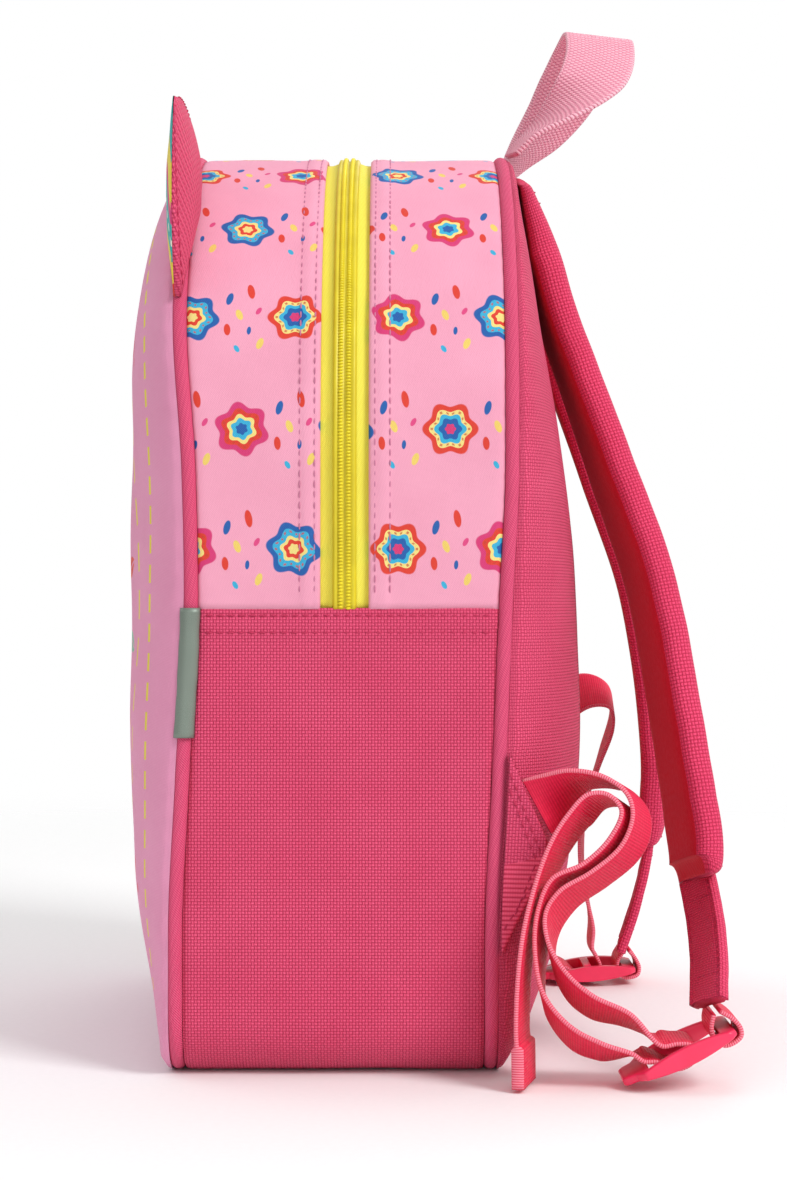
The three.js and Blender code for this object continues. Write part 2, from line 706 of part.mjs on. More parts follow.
// Adjusting webbing, right side: near edge of the ribbon, from the bottom tab through two nested
// loops and the lock to the hemmed end. out is from the body's side, a share of the webbing's
// width, back from half the body's depth, a share of the stand-off, and up a share of the tab's
// top. wx, wy, wz is the way to the far edge.
const webbingTable = [
  { out: 0.11, back: 0.053, up: 0.9243, wx: 0.05, wy: 0.47, wz: -0.88 },
  { out: 0.325, back: 0.141, up: 0.9417, wx: -0.5, wy: 0.42, wz: -0.72 },
  { out: 0.55, back: 0.262, up: 0.9583, wx: -0.84, wy: 0.38, wz: -0.36 },
  { out: 0.65, back: 0.403, up: 0.9427, wx: -0.88, wy: 0.38, wz: -0.28 },
  { out: 0.7, back: 0.513, up: 0.8922, wx: -0.88, wy: 0.38, wz: -0.28 },
  { out: 0.7, back: 0.543, up: 0.8272, wx: -0.88, wy: 0.38, wz: -0.28 },
  { out: 0.7, back: 0.491, up: 0.734, wx: -0.88, wy: 0.38, wz: -0.28 },
  { out: 0.7, back: 0.353, up: 0.6544, wx: -0.88, wy: 0.36, wz: -0.3 },
  { out: 0.725, back: 0.209, up: 0.5981, wx: -0.86, wy: 0.32, wz: -0.38 },
  { out: 0.75, back: 0.146, up: 0.532, wx: -0.84, wy: 0.25, wz: -0.46 },
  { out: 0.85, back: 0.157, up: 0.4466, wx: -0.83, wy: 0.15, wz: -0.52 },
  { out: 0.9, back: 0.24, up: 0.3573, wx: -0.83, wy: 0.08, wz: -0.55 },
  { out: 0.95, back: 0.356, up: 0.2922, wx: -0.86, wy: 0.04, wz: -0.5 },
  { out: 0.95, back: 0.529, up: 0.235, wx: -0.93, wy: 0.0, wz: -0.35 },
];
const lockWrap = [
  { along: 0.408, rise: 2.154 },
  { along: 0.534, rise: 1.5 },
  { along: 0.637, rise: 0.538 },
  { along: 0.642, rise: -0.538 },
  { along: 0.568, rise: -1.231 },
  { along: 0.463, rise: -1.231 },
  { along: 0.379, rise: -0.462 },
  { along: 0.321, rise: 0.615 },
  { along: 0.226, rise: 1.385 },
];
const webbingReturn = [
  { out: 0.95, back: 0.538, up: 0.1155, wx: -0.95, wy: 0.02, wz: -0.2 },
  { out: 0.95, back: 0.401, up: 0.1476, wx: -0.88, wy: 0.06, wz: -0.42 },
  { out: 0.9, back: 0.254, up: 0.199, wx: -0.85, wy: 0.08, wz: -0.5 },
  { out: 0.85, back: 0.134, up: 0.2951, wx: -0.84, wy: 0.12, wz: -0.48 },
  { out: 0.8, back: 0.096, up: 0.4243, wx: -0.84, wy: 0.2, wz: -0.46 },
  { out: 0.75, back: 0.11, up: 0.5427, wx: -0.86, wy: 0.28, wz: -0.4 },
  { out: 0.725, back: 0.175, up: 0.635, wx: -0.88, wy: 0.34, wz: -0.32 },
  { out: 0.7, back: 0.318, up: 0.6796, wx: -0.88, wy: 0.38, wz: -0.28 },
  { out: 0.7, back: 0.435, up: 0.7534, wx: -0.88, wy: 0.38, wz: -0.28 },
  { out: 0.7, back: 0.491, up: 0.8388, wx: -0.88, wy: 0.38, wz: -0.28 },
  { out: 0.7, back: 0.429, up: 0.8874, wx: -0.88, wy: 0.38, wz: -0.28 },
  { out: 0.7, back: 0.338, up: 0.8874, wx: -0.88, wy: 0.38, wz: -0.28 },
  { out: 0.7, back: 0.249, up: 0.8272, wx: -0.88, wy: 0.38, wz: -0.28 },
  { out: 0.725, back: 0.165, up: 0.7369, wx: -0.9, wy: 0.36, wz: -0.22 },
  { out: 0.8, back: 0.082, up: 0.5845, wx: -0.93, wy: 0.3, wz: -0.12 },
  { out: 0.9, back: 0.038, up: 0.4621, wx: -0.95, wy: 0.26, wz: -0.04 },
  { out: 1, back: 0.013, up: 0.3223, wx: -0.96, wy: 0.25, wz: 0 },
  { out: 1.05, back: 0.006, up: 0.1786, wx: -0.97, wy: 0.25, wz: 0 },
  { out: 1.05, back: 0.009, up: 0.1417, wx: -0.97, wy: 0.25, wz: 0, fat: 1 },
  { out: 1.05, back: 0.012, up: 0.1301, wx: -0.97, wy: 0.25, wz: 0, fat: 2.8 },
  { out: 1.05, back: 0.015, up: 0.0117, wx: -0.97, wy: 0.25, wz: 0, fat: 2.8 },
];

// Left side: one loop out of the tab, down into the lock, and the free end along the floor
const leftWebbingTable = [
  { out: 0.11, back: 0.053, up: 0.9243, wx: -0.05, wy: 0.47, wz: -0.88 },
  { out: 0.15, back: 0.235, up: 1, wx: 0.25, wy: 0.3, wz: -0.92 },
  { out: 0.1, back: 0.426, up: 1.1262, wx: 0.5, wy: 0.18, wz: -0.85 },
  { out: -0.1, back: 0.618, up: 1.1748, wx: 0.74, wy: 0.05, wz: -0.67 },
  { out: -0.3, back: 0.743, up: 1.1359, wx: 0.88, wy: 0.0, wz: -0.47 },
  { out: -0.4, back: 0.772, up: 1.0388, wx: 0.93, wy: -0.05, wz: -0.36 },
  { out: -0.45, back: 0.706, up: 0.8738, wx: 0.95, wy: -0.12, wz: -0.3 },
  { out: -0.55, back: 0.618, up: 0.6602, wx: 0.96, wy: -0.18, wz: -0.2 },
  { out: -0.85, back: 0.588, up: 0.4466, wx: 0.98, wy: -0.12, wz: -0.15 },
  { out: -1.25, back: 0.618, up: 0.233, wx: 0.995, wy: 0.0, wz: -0.1 },
];
const leftWrap = [
  { along: 0.584, rise: 3.269 },
  { along: 0.642, rise: 1.308 },
  { along: 0.647, rise: -0.154 },
  { along: 0.568, rise: -1 },
  { along: 0.463, rise: -1 },
  { along: 0.379, rise: -0.308 },
  { along: 0.305, rise: 0.923 },
  { along: 0.2, rise: 1.769 },
];
const leftReturn = [
  { out: -1.52, back: 0.331, up: 0.0699, wx: 0.95, wy: 0, wz: 0.3 },
  { out: -1.5, back: 0.257, up: 0.0505, wx: 0.75, wy: 0.03, wz: 0.66 },
  { out: -1.35, back: 0.2, up: 0.0311, wx: 0.42, wy: 0.05, wz: 0.9 },
  { out: -1, back: 0.168, up: 0.0184, wx: 0.14, wy: 0.02, wz: 0.99 },
  { out: -0.55, back: 0.147, up: 0.0126, wx: 0.0, wy: 0.0, wz: 1 },
  { out: 0.45, back: 0.147, up: 0.0117, wx: 0.0, wy: 0.0, wz: 1, fat: 1 },
  { out: 0.525, back: 0.15, up: 0.0117, wx: 0.0, wy: 0.0, wz: 1, fat: 2.8 },
  { out: 1.15, back: 0.176, up: 0.0117, wx: 0.0, wy: 0.0, wz: 1, fat: 2.8 },
];

function ribbonRow(side, { out, back, up, wx, wy, wz, fat }) {
  return { place: besideBody(side, out, back, up), across: new THREE.Vector3(wx, wy, wz), fat };
}

function wrapRows(rows, frame, side) {
  const edge = (side * webbing.width) / 2;
  return rows.map(({ along, rise }) => {
    const place = frame(along * lock.length, rise * lock.thickness);
    place.x += edge;
    return { place, across: new THREE.Vector3(-side, 0, 0) };
  });
}

for (const [name, settings] of Object.entries(locks)) {
  const { side } = settings;
  const frame = lockFrame(settings);
  addPiece(`ladder_lock_${name}`, lockGeometry(frame), material.lockPlastic);

  const route = strapRoute(side);
  addPiece(
    `shoulder_strap_${name}`,
    sweep(route, {
      width: pad.width,
      thickness: pad.thickness,
      below: 1,
      section: paddedSection,
      perRow: 2,
    }),
    material.strapCloth,
  );

  const loopRows = barLoop.map(({ along, rise }) => ({
    place: frame(barMiddle + along * lock.length, rise * lock.thickness),
    across: new THREE.Vector3(1, 0, 0),
  }));
  addPiece(
    `buckle_webbing_${name}`,
    sweep(loopRows, { width: webbing.width, thickness: webbing.thickness, section: flatSection, perRow: 2 }),
    material.strapWebbing,
  );

  const end = route[route.length - 1].place;
  const padEnd = new THREE.Vector3(end.x, end.y - padSleeve.tuck, end.z - padSleeve.drop);
  const lockEnd = frame(barMiddle, loopTop + padSleeve.thickness + gap);
  addPiece(
    `strap_sleeve_${name}`,
    sweep(sleeveRoute(settings, padEnd, lockEnd), {
      width: padSleeve.width,
      thickness: padSleeve.thickness,
      section: paddedSection,
      perRow: 2,
    }),
    material.strapCloth,
  );
}

// Folded cloth tabs in the back seam that hold the adjusting webbing
for (const [name, side] of [['right', 1], ['left', -1]]) {
  const tall = tab.top - tab.bottom;
  const outline = [
    { z: tab.top, reach: 0 },
    { z: tab.bottom, reach: 0 },
    { z: tab.bottom + tall * tab.noseLow, reach: 1 },
    { z: tab.bottom + tall * tab.noseHigh, reach: 1 },
  ];
  const sections = [0, 1].map((layer) =>
    outline.map(({ z, reach }) => {
      const y = seamY('back', z) + piping.radius + gap + reach * tab.reach;
      const x = body.width / 2 + gap + reach * tab.slant + layer * tab.thickness;
      return new THREE.Vector3(side * x, y, z);
    }),
  );
  addPiece(`bottom_tab_${name}`, loft(sections), material.pinkCloth);
}

const rightRoute = [
  ...webbingTable.map((row) => ribbonRow(1, row)),
  ...wrapRows(lockWrap, lockFrame(locks.right), 1),
  ...webbingReturn.map((row) => ribbonRow(1, row)),
];
const leftRoute = [
  ...leftWebbingTable.map((row) => ribbonRow(-1, row)),
  ...wrapRows(leftWrap, lockFrame(locks.left), -1),
  ...leftReturn.map((row) => ribbonRow(-1, row)),
];
for (const [name, route] of [['right', rightRoute], ['left', leftRoute]]) {
  addPiece(
    `adjust_webbing_${name}`,
    sweep(route, {
      width: webbing.width,
      thickness: webbing.thickness,
      from: 0,
      to: 1,
      section: flatSection,
      perRow: 2,
    }),
    material.strapWebbing,
  );
}

export default backpack;
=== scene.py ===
# Child's backpack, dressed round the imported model.
# Lengths are in millimetres here and become metres when a mesh is made.
import math
import bpy
import numpy as np
from mathutils import Matrix, Vector


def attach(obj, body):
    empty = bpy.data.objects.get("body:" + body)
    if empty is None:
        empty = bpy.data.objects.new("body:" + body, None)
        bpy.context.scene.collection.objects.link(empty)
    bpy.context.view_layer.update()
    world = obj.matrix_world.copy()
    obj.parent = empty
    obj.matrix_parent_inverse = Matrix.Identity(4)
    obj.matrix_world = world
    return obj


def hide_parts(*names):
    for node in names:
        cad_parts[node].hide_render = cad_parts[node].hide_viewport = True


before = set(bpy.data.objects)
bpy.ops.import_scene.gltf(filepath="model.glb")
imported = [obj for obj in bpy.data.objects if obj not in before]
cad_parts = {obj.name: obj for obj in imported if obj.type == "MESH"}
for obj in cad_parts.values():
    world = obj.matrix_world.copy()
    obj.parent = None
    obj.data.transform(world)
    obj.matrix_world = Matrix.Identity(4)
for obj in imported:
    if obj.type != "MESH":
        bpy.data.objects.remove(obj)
bpy.ops.object.select_all(action="DESELECT")
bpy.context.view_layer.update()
print("frame loaded:", len(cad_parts), "nodes")

# Camera, as the photograph was taken
shot = {"place": (0.850, 0.015, 0.1515), "lens": 71.0, "sensor": 36.0, "tiltUp": 0.246}
bpy.ops.object.camera_add(
    location=shot["place"],
    rotation=(math.radians(90 + shot["tiltUp"]), 0, math.radians(90)),
)
camera = bpy.context.object
camera.data.lens = shot["lens"]
camera.data.sensor_width = shot["sensor"]
camera.data.sensor_fit = "AUTO"
camera.data.clip_start = 0.01
bpy.context.scene.camera = camera
bpy.context.scene.view_settings.view_transform = "Standard"


# Small helpers for wiring shader nodes


class Wire:
    # one node output, so that sums can be written as sums
    def __init__(self, tree, socket):
        self.tree = tree
        self.socket = socket

    def use(self, operation, *others):
        node = self.tree.nodes.new("ShaderNodeMath")
        node.operation = operation
        for place, value in enumerate((self, *others)):
            plug(self.tree, value, node.inputs[place])
        return Wire(self.tree, node.outputs[0])

    def __add__(self, other):
        return self.use("ADD", other)

    def __sub__(self, other):
        return self.use("SUBTRACT", other)

    def __mul__(self, other):
        return self.use("MULTIPLY", other)

    def __truediv__(self, other):
        return self.use("DIVIDE", other)

    def flip(self):
        return self.use("MULTIPLY_ADD", -1.0, 1.0)


def plug(tree, value, socket):
    if isinstance(value, Wire):
        tree.links.new(value.socket, socket)
    elif isinstance(value, bpy.types.NodeSocket):
        tree.links.new(value, socket)
    else:
        socket.default_value = value


def linear(code):
    # hex colour to linear light
    values = [int(code[i : i + 2], 16) / 255 for i in (0, 2, 4)]
    return tuple(v / 12.92 if v <= 0.04045 else ((v + 0.055) / 1.055) ** 2.4 for v in values) + (1.0,)


def ramp(wire, low, high, start=0.0, end=1.0):
    node = wire.tree.nodes.new("ShaderNodeMapRange")
    node.interpolation_type = "SMOOTHSTEP"
    labels = ("Value", "From Min", "From Max", "To Min", "To Max")
    for label, value in zip(labels, (wire, low, high, start, end)):
        plug(wire.tree, value, node.inputs[label])
    return Wire(wire.tree, node.outputs["Result"])


def blendColour(tree, factor, first, second, how="MIX"):
    node = tree.nodes.new("ShaderNodeMix")
    node.data_type = "RGBA"
    node.blend_type = how
    plug(tree, factor, node.inputs[0])
    plug(tree, first, node.inputs[6])
    plug(tree, second, node.inputs[7])
    return Wire(tree, node.outputs[2])


def split(tree, vector):
    node = tree.nodes.new("ShaderNodeSeparateXYZ")
    plug(tree, vector, node.inputs[0])
    return Wire(tree, node.outputs[0]), Wire(tree, node.outputs[1])


def noiseOf(tree, vector, scale, detail=2.0, roughness=0.5):
    node = tree.nodes.new("ShaderNodeTexNoise")
    plug(tree, vector, node.inputs["Vector"])
    node.inputs["Scale"].default_value = scale
    node.inputs["Detail"].default_value = detail
    node.inputs["Roughness"].default_value = roughness
    return Wire(tree, node.outputs[0])


def steps(wire, colours):
    # colour bands with hard edges: (from, colour), placed first because the ramp sorts its marks
    node = wire.tree.nodes.new("ShaderNodeValToRGB")
    node.color_ramp.interpolation = "CONSTANT"
    plug(wire.tree, wire, node.inputs[0])
    marks = node.color_ramp.elements
    while len(marks) < len(colours):
        marks.new(1.0)
    for mark, (position, code) in zip(marks, colours):
        mark.position = position
    for mark, (position, code) in zip(marks, colours):
        mark.color = linear(code)
    return Wire(wire.tree, node.outputs[0])


def newGroup(name, fill, outputs, **inputs):
    # every group has a Vector input; a number makes a value input, a tuple a colour input
    tree = bpy.data.node_groups.new(name, "ShaderNodeTree")
    tree.interface.new_socket(name="Vector", in_out="INPUT", socket_type="NodeSocketVector")
    for label, value in inputs.items():
        kind = "NodeSocketColor" if isinstance(value, tuple) else "NodeSocketFloat"
        tree.interface.new_socket(name=label, in_out="INPUT", socket_type=kind).default_value = value
    for label in outputs:
        kind = "NodeSocketColor" if label == "Color" else "NodeSocketFloat"
        tree.interface.new_socket(name=label, in_out="OUTPUT", socket_type=kind)
    start = tree.nodes.new("NodeGroupInput")
    end = tree.nodes.new("NodeGroupOutput")
    made = fill(tree, {label: Wire(tree, start.outputs[label]) for label in ("Vector", *inputs)})
    for label, wire in made.items():
        plug(tree, wire, end.inputs[label])
    return tree


def useGroup(tree, group, **values):
    node = tree.nodes.new("ShaderNodeGroup")
    node.node_tree = group
    for label, value in values.items():
        plug(tree, value, node.inputs[label])
    return {socket.name: Wire(tree, socket) for socket in node.outputs}


def basketFill(tree, ins):
    # over and under of a plain weave with round threads
    u, v = split(tree, ins["Vector"])
    x, y = u / ins["Pitch"], v / ins["Pitch"]
    parity = (x.use("FLOOR") + y.use("FLOOR")).use("FLOORED_MODULO", 2.0)
    across = (x.use("FRACT") * math.pi).use("SINE")
    along = (y.use("FRACT") * math.pi).use("SINE")
    warp = across * (along * 0.45 + 0.55)
    weft = along * (across * 0.45 + 0.55)
    height = warp * parity + weft * parity.flip()
    return {"Height": height, "Over": parity}


basketWeave = newGroup("basketWeave", basketFill, ["Height", "Over"], Pitch=0.8)


def twillFill(tree, ins):
    u, v = split(tree, ins["Vector"])
    ridge = (((u + v * ins["Slant"]) / ins["Pitch"]).use("FRACT") * math.pi).use("SINE")
    thread = (((v - u * 0.3) / (ins["Pitch"] * 1.7)).use("FRACT") * math.pi).use("SINE")
    return {"Height": ridge * (thread * 0.35 + 0.65)}


twillWeave = newGroup("twillWeave", twillFill, ["Height"], Pitch=0.6, Slant=0.6)


def ribFill(tree, ins):
    # ribs across a webbing, staggered from wale to wale, and beads along both edges
    u, v = split(tree, ins["Vector"])
    wale = (v / ins["Wale"]).use("FLOOR").use("FLOORED_MODULO", 2.0)
    rib = ((u / ins["Pitch"] + wale * ins["Stagger"]).use("FRACT") * math.pi).use("SINE")
    column = ((v / ins["Wale"]).use("FRACT") * math.pi).use("SINE")
    half = ins["Width"] * 0.5
    edge = ramp((v - half).use("ABSOLUTE"), half - 1.1, half - 0.5)
    bead = ((u / (ins["Pitch"] * 0.8)).use("FRACT") * math.pi).use("SINE")
    height = rib * (column * 0.3 + 0.7)
    return {"Height": height * edge.flip() + bead * edge, "Bead": bead * edge}


webbingRibs = newGroup(
    "webbingRibs", ribFill, ["Height", "Bead"], Pitch=1.1, Wale=2.0, Stagger=0.0, Width=20.0
)


def handlingFill(tree, ins):
    # soft unevenness of sewn and handled cloth
    wide = noiseOf(tree, ins["Vector"], 0.035, 2.0)
    fine = noiseOf(tree, ins["Vector"], 0.6, 2.0)
    fuzz = noiseOf(tree, ins["Vector"], 3.0, 1.0)
    return {"Wide": ramp(wide, 0.3, 0.7), "Fine": ramp(fine, 0.3, 0.7), "Fuzz": fuzz}


handling = newGroup("handling", handlingFill, ["Wide", "Fine", "Fuzz"])


def spot(dx, dy, place, radii, turn=0.0):
    # an oval at a place in a cell, 1 inside and 0 outside
    c, s = math.cos(math.radians(turn)), math.sin(math.radians(turn))
    px, py = dx - place[0], dy - place[1]
    along = (px * c + py * s) / radii[0]
    across = (py * c - px * s) / radii[1]
    reach = (along * along + across * across).use("SQRT")
    return ramp(reach, 0.88, 1.04, 1.0, 0.0)


def scatterFill(tree, ins):
    # small blossoms in a brick layout, with ovals and dots between them
    u, v = split(tree, ins["Vector"])
    cell = {"width": 33.0, "height": 38.0}
    row = (u / cell["height"]).use("FLOOR")
    shifted = v / cell["width"] + row.use("FLOORED_MODULO", 2.0) * 0.5
    column = shifted.use("FLOOR")
    dx = (shifted.use("FRACT") - 0.5) * cell["width"]
    dy = ((u / cell["height"]).use("FRACT") - 0.5) * cell["height"]
    angle = dy.use("ARCTAN2", dx)
    kind = (row + column * 2.0).use("FLOORED_MODULO", 3.0)
    petals = (angle * 6.0 + kind).use("COSINE")
    radius = petals * 0.9 + 8.0
    reach = (dx * dx + dy * dy).use("SQRT")
    share = reach / radius
    warm = steps(
        share,
        [(0, "D93A78"), (0.2, "1F62AE"), (0.42, "37B5DC"), (0.58, "F4E489"), (0.76, "E0402E")],
    )
    cool = steps(
        share,
        [(0, "F4E489"), (0.2, "E0402E"), (0.36, "F4E489"), (0.5, "37B5DC"), (0.76, "1F62AE")],
    )
    bright = steps(
        share,
        [(0, "1F62AE"), (0.22, "37B5DC"), (0.4, "F4E489"), (0.55, "E0402E"), (0.76, "D93A78")],
    )
    first = kind.use("LESS_THAN", 0.5)
    last = kind.use("GREATER_THAN", 1.5)
    blossom = blendColour(tree, last, blendColour(tree, first, cool, warm), bright)
    ringDots = (angle * 18.0).use("COSINE").use("GREATER_THAN", 0.35)
    inRing = share.use("GREATER_THAN", 0.62) * share.use("LESS_THAN", 0.71)
    blossom = blendColour(tree, ringDots * inRing * 0.75, blossom, linear("C8452F"))
    colour = blendColour(tree, ramp(share, 0.97, 1.03, 1.0, 0.0), ins["Ground"], blossom)
    # the loose ovals lie midway between two blossoms of a row, so they are placed from there
    cx = ((shifted + 0.5).use("FRACT") - 0.5) * cell["width"]
    marks = [
        ((-4.6, 6.8), (2.4, 1.1), 75, "1F62AE"),
        ((2.2, 9.6), (2.9, 1.2), 100, "E0402E"),
        ((4.8, 2.2), (1.5, 0.8), 60, "E24A86"),
        ((-1.4, 0.8), (2.1, 1.1), 110, "F1D66B"),
        ((1.8, -5.0), (1.5, 0.7), 85, "1F62AE"),
        ((-5.2, -4.6), (2.2, 1.1), 95, "E0402E"),
        ((5.4, -9.6), (2.1, 1.1), 70, "F1D66B"),
        ((-2.0, -11.4), (1.4, 0.8), 120, "37B5DC"),
    ]
    for place, radii, turn, code in marks:
        colour = blendColour(tree, spot(cx, dy, place, radii, turn), colour, linear(code))
    return {"Color": colour}


scatterPrint = newGroup("scatterPrint", scatterFill, ["Color"], Ground=linear("F2A6C0"))


def bigFlowerFill(tree, ins):
    # one large blossom with leaves and a dashed ring round it, for the front panel
    flower = {"middle": 150.0, "leaves": 64.0, "ring": 85.0, "archCentre": 195.0, "border": 101.0}
    u, v = split(tree, ins["Vector"])
    dx, dy = u, v - flower["middle"]
    reach = (dx * dx + dy * dy).use("SQRT")
    angle = dy.use("ARCTAN2", dx)
    petals = (angle * 8.0).use("COSINE").use("ABSOLUTE").use("SQRT")
    share = reach / (petals * 13.0 + 33.0)
    rings = steps(
        share,
        [
            (0, "F4E489"), (0.16, "D93A78"), (0.3, "F7C3D2"), (0.36, "1F62AE"), (0.5, "37B5DC"),
            (0.64, "F4E489"), (0.8, "E0402E"),
        ],
    )
    dots = (angle * 32.0).use("COSINE").use("GREATER_THAN", 0.3)
    dots = dots * share.use("GREATER_THAN", 0.69) * share.use("LESS_THAN", 0.75)
    rings = blendColour(tree, dots, rings, linear("E0402E"))
    colour = blendColour(tree, ramp(share, 0.985, 1.01, 1.0, 0.0), ins["Ground"], rings)
    # leaves round it, red and mint in turn
    leafCount = 16
    leafTurn = angle * (leafCount / (2 * math.pi))
    leafSide = (leafTurn.use("FRACT") - 0.5) * (2 * math.pi / leafCount) * reach
    leafOut = (reach - flower["leaves"]) / 12.0
    leafWide = (leafOut * leafOut).flip().use("MAXIMUM", 0.0) * 3.6
    leaf = ramp(leafWide - leafSide.use("ABSOLUTE"), 0.0, 0.5)
    vein = ramp(leafSide.use("ABSOLUTE"), 0.25, 0.6)
    odd = leafTurn.use("FLOOR").use("FLOORED_MODULO", 2.0)
    leafColour = blendColour(tree, odd, linear("E8543F"), linear("8CCBA8"))
    colour = blendColour(tree, leaf * vein, colour, leafColour)
    # a dashed ring round the leaves
    dash = (angle * 34.0).use("COSINE").use("GREATER_THAN", -0.35)
    ring = ramp((reach - flower["ring"]).use("ABSOLUTE"), 0.9, 1.3, 1.0, 0.0) * dash
    colour = blendColour(tree, ring, colour, linear("F0E040"))
    # a dashed line of the same yellow follows the panel's edge
    aboveArch = v - flower["archCentre"]
    rise = aboveArch.use("MAXIMUM", 0.0)
    fromCentre = (u * u + rise * rise).use("SQRT")
    overArch = rise.use("ARCTAN2", u.use("ABSOLUTE")) * flower["border"]
    run = overArch + aboveArch.use("MINIMUM", 0.0)
    dashes = (run / 9.5).use("FRACT").use("LESS_THAN", 0.62) * v.use("GREATER_THAN", 26.0)
    border = ramp((fromCentre - flower["border"]).use("ABSOLUTE"), 0.8, 1.2, 1.0, 0.0) * dashes
    colour = blendColour(tree, border, colour, linear("EFE03C"))
    # scattered ovals between the ring and the border
    patch = {"width": 27.0, "height": 25.0}
    row = (v / patch["height"]).use("FLOOR")
    shifted = u / patch["width"] + row * 0.37
    px = (shifted.use("FRACT") - 0.5) * patch["width"]
    py = ((v / patch["height"]).use("FRACT") - 0.5) * patch["height"]
    tint = (row * 2.0 + shifted.use("FLOOR")).use("FLOORED_MODULO", 4.0) / 4.0 + 0.01
    tints = steps(tint, [(0, "E24A86"), (0.25, "8CCBA8"), (0.5, "5FB7D8"), (0.75, "E8543F")])
    midU, midV = u - px, v - py
    midRise = (midV - flower["archCentre"]).use("MAXIMUM", 0.0)
    midUp = midV - flower["middle"]
    toRing = (midU * midU + midUp * midUp).use("SQRT")
    toEdge = (midU * midU + midRise * midRise).use("SQRT")
    outside = toRing.use("GREATER_THAN", 98.0) * toEdge.use("LESS_THAN", 84.0)
    outside = outside * midV.use("GREATER_THAN", 24.0)
    oval = spot(px, py, (0.0, 0.0), (4.6, 1.9), 68)
    oval = oval.use("MAXIMUM", spot(px, py, (7.0, -6.0), (1.7, 1.7)))
    colour = blendColour(tree, oval * outside, colour, tints)
    return {"Color": colour}


bigFlowerPrint = newGroup("bigFlowerPrint", bigFlowerFill, ["Color"], Ground=linear("EFA3C2"))


def startMaterial(name, roughness, specular=0.3, sheen=0.0, sheenColour="FFFFFF"):
    look = bpy.data.materials.new(name)
    look.use_nodes = True
    tree = look.node_tree
    shader = tree.nodes["Principled BSDF"]
    shader.inputs["Roughness"].default_value = roughness
    shader.inputs["Specular IOR Level"].default_value = specular
    shader.inputs["Sheen Weight"].default_value = sheen
    shader.inputs["Sheen Roughness"].default_value = 0.4
    shader.inputs["Sheen Tint"].default_value = linear(sheenColour)
    place = tree.nodes.new("ShaderNodeUVMap")
    place.uv_map = "clothMap"
    return look, tree, shader, Wire(tree, place.outputs[0])


def emboss(tree, shader, height, distance, strength=1.0):
    node = tree.nodes.new("ShaderNodeBump")
    node.inputs["Distance"].default_value = distance
    node.inputs["Strength"].default_value = strength
    plug(tree, height, node.inputs["Height"])
    tree.links.new(node.outputs[0], shader.inputs["Normal"])


def finishLook(tree, shader, colour, roughness, height, depth):
    plug(tree, colour, shader.inputs["Base Color"])
    plug(tree, roughness, shader.inputs["Roughness"])
    emboss(tree, shader, height, depth)


def basketCloth(name, light, dark, pitch=1.0, roughness=0.74, depth=0.0003, sheen=0.04):
    look, tree, shader, place = startMaterial(name, roughness, 0.22, sheen)
    weave = useGroup(tree, basketWeave, Vector=place, Pitch=pitch)
    age = useGroup(tree, handling, Vector=place)
    # the weave's height and its over-and-under cells set the colour: painted shade in the hollows between
    # threads, and a painted highlight on their crowns and on the cells where the warp lies on top; the
    # fuzz adds random tone
    threadShadeAndFuzz = weave["Height"] * 0.8 + weave["Over"] * 0.14 + age["Fuzz"] * 0.3 - 0.12
    colour = blendColour(tree, threadShadeAndFuzz, linear(dark), linear(light))
    colour = blendColour(tree, age["Wide"] * 0.16, colour, linear(dark))
    colour = blendColour(tree, age["Fine"] * 0.08, colour, linear("FFFFFF"), "SOFT_LIGHT")
    dull = age["Fine"] * 0.12 + (roughness - 0.06)
    finishLook(tree, shader, colour, dull, weave["Height"] + age["Fuzz"] * 0.25, depth)
    return look


def printedCloth(name, ground, group, roughness=0.62):
    look, tree, shader, place = startMaterial(name, roughness, 0.3, 0.05)
    weave = useGroup(tree, twillWeave, Vector=place, Pitch=0.55, Slant=0.9)
    age = useGroup(tree, handling, Vector=place)
    printed = useGroup(tree, group, Vector=place, Ground=linear(ground))["Color"]
    # painted shade: the print is darkened in the hollows of the twill, where the weave is low
    colour = blendColour(tree, weave["Height"].flip() * 0.2, printed, linear("A8386A"), "MULTIPLY")
    colour = blendColour(tree, age["Wide"] * 0.08, colour, linear("C56C92"), "MULTIPLY")
    dull = age["Fine"] * 0.12 + (roughness - 0.06)
    finishLook(tree, shader, colour, dull, weave["Height"] + age["Fuzz"] * 0.3, 0.00008)
    return look


def webbingCloth(name, light, dark, paleEdgeAndHighlight, width, pitch, wale, stagger, depth=0.0003):
    look, tree, shader, place = startMaterial(name, 0.6, 0.22, 0.02)
    ribs = useGroup(
        tree, webbingRibs, Vector=place, Pitch=pitch, Wale=wale, Stagger=stagger, Width=width
    )
    age = useGroup(tree, handling, Vector=place)
    # painted shade and highlight: the ribs' hollows take the dark colour and their crowns the light one;
    # the edge beads' crowns take the pale edge colour, partly the edge thread's own colour and partly a
    # painted highlight
    colour = blendColour(tree, ribs["Height"], linear(dark), linear(light))
    colour = blendColour(tree, ribs["Bead"] * 0.8, colour, linear(paleEdgeAndHighlight))
    colour = blendColour(tree, age["Wide"] * 0.12, colour, linear(dark))
    dull = age["Fine"] * 0.15 + 0.48
    finishLook(tree, shader, colour, dull, ribs["Height"] + age["Fuzz"] * 0.15, depth)
    return look


def twillCloth(name, light, dark, pitch, slant=0.6, roughness=0.65, depth=0.00015):
    look, tree, shader, place = startMaterial(name, roughness, 0.3, 0.04)
    weave = useGroup(tree, twillWeave, Vector=place, Pitch=pitch, Slant=slant)
    age = useGroup(tree, handling, Vector=place)
    # painted shade and highlight: the twill's hollows take the dark colour and its ridges the light one
    colour = blendColour(tree, weave["Height"], linear(dark), linear(light))
    colour = blendColour(tree, age["Wide"] * 0.12, colour, linear(dark))
    dull = age["Fine"] * 0.12 + (roughness - 0.06)
    finishLook(tree, shader, colour, dull, weave["Height"] + age["Fuzz"] * 0.2, depth)
    return look


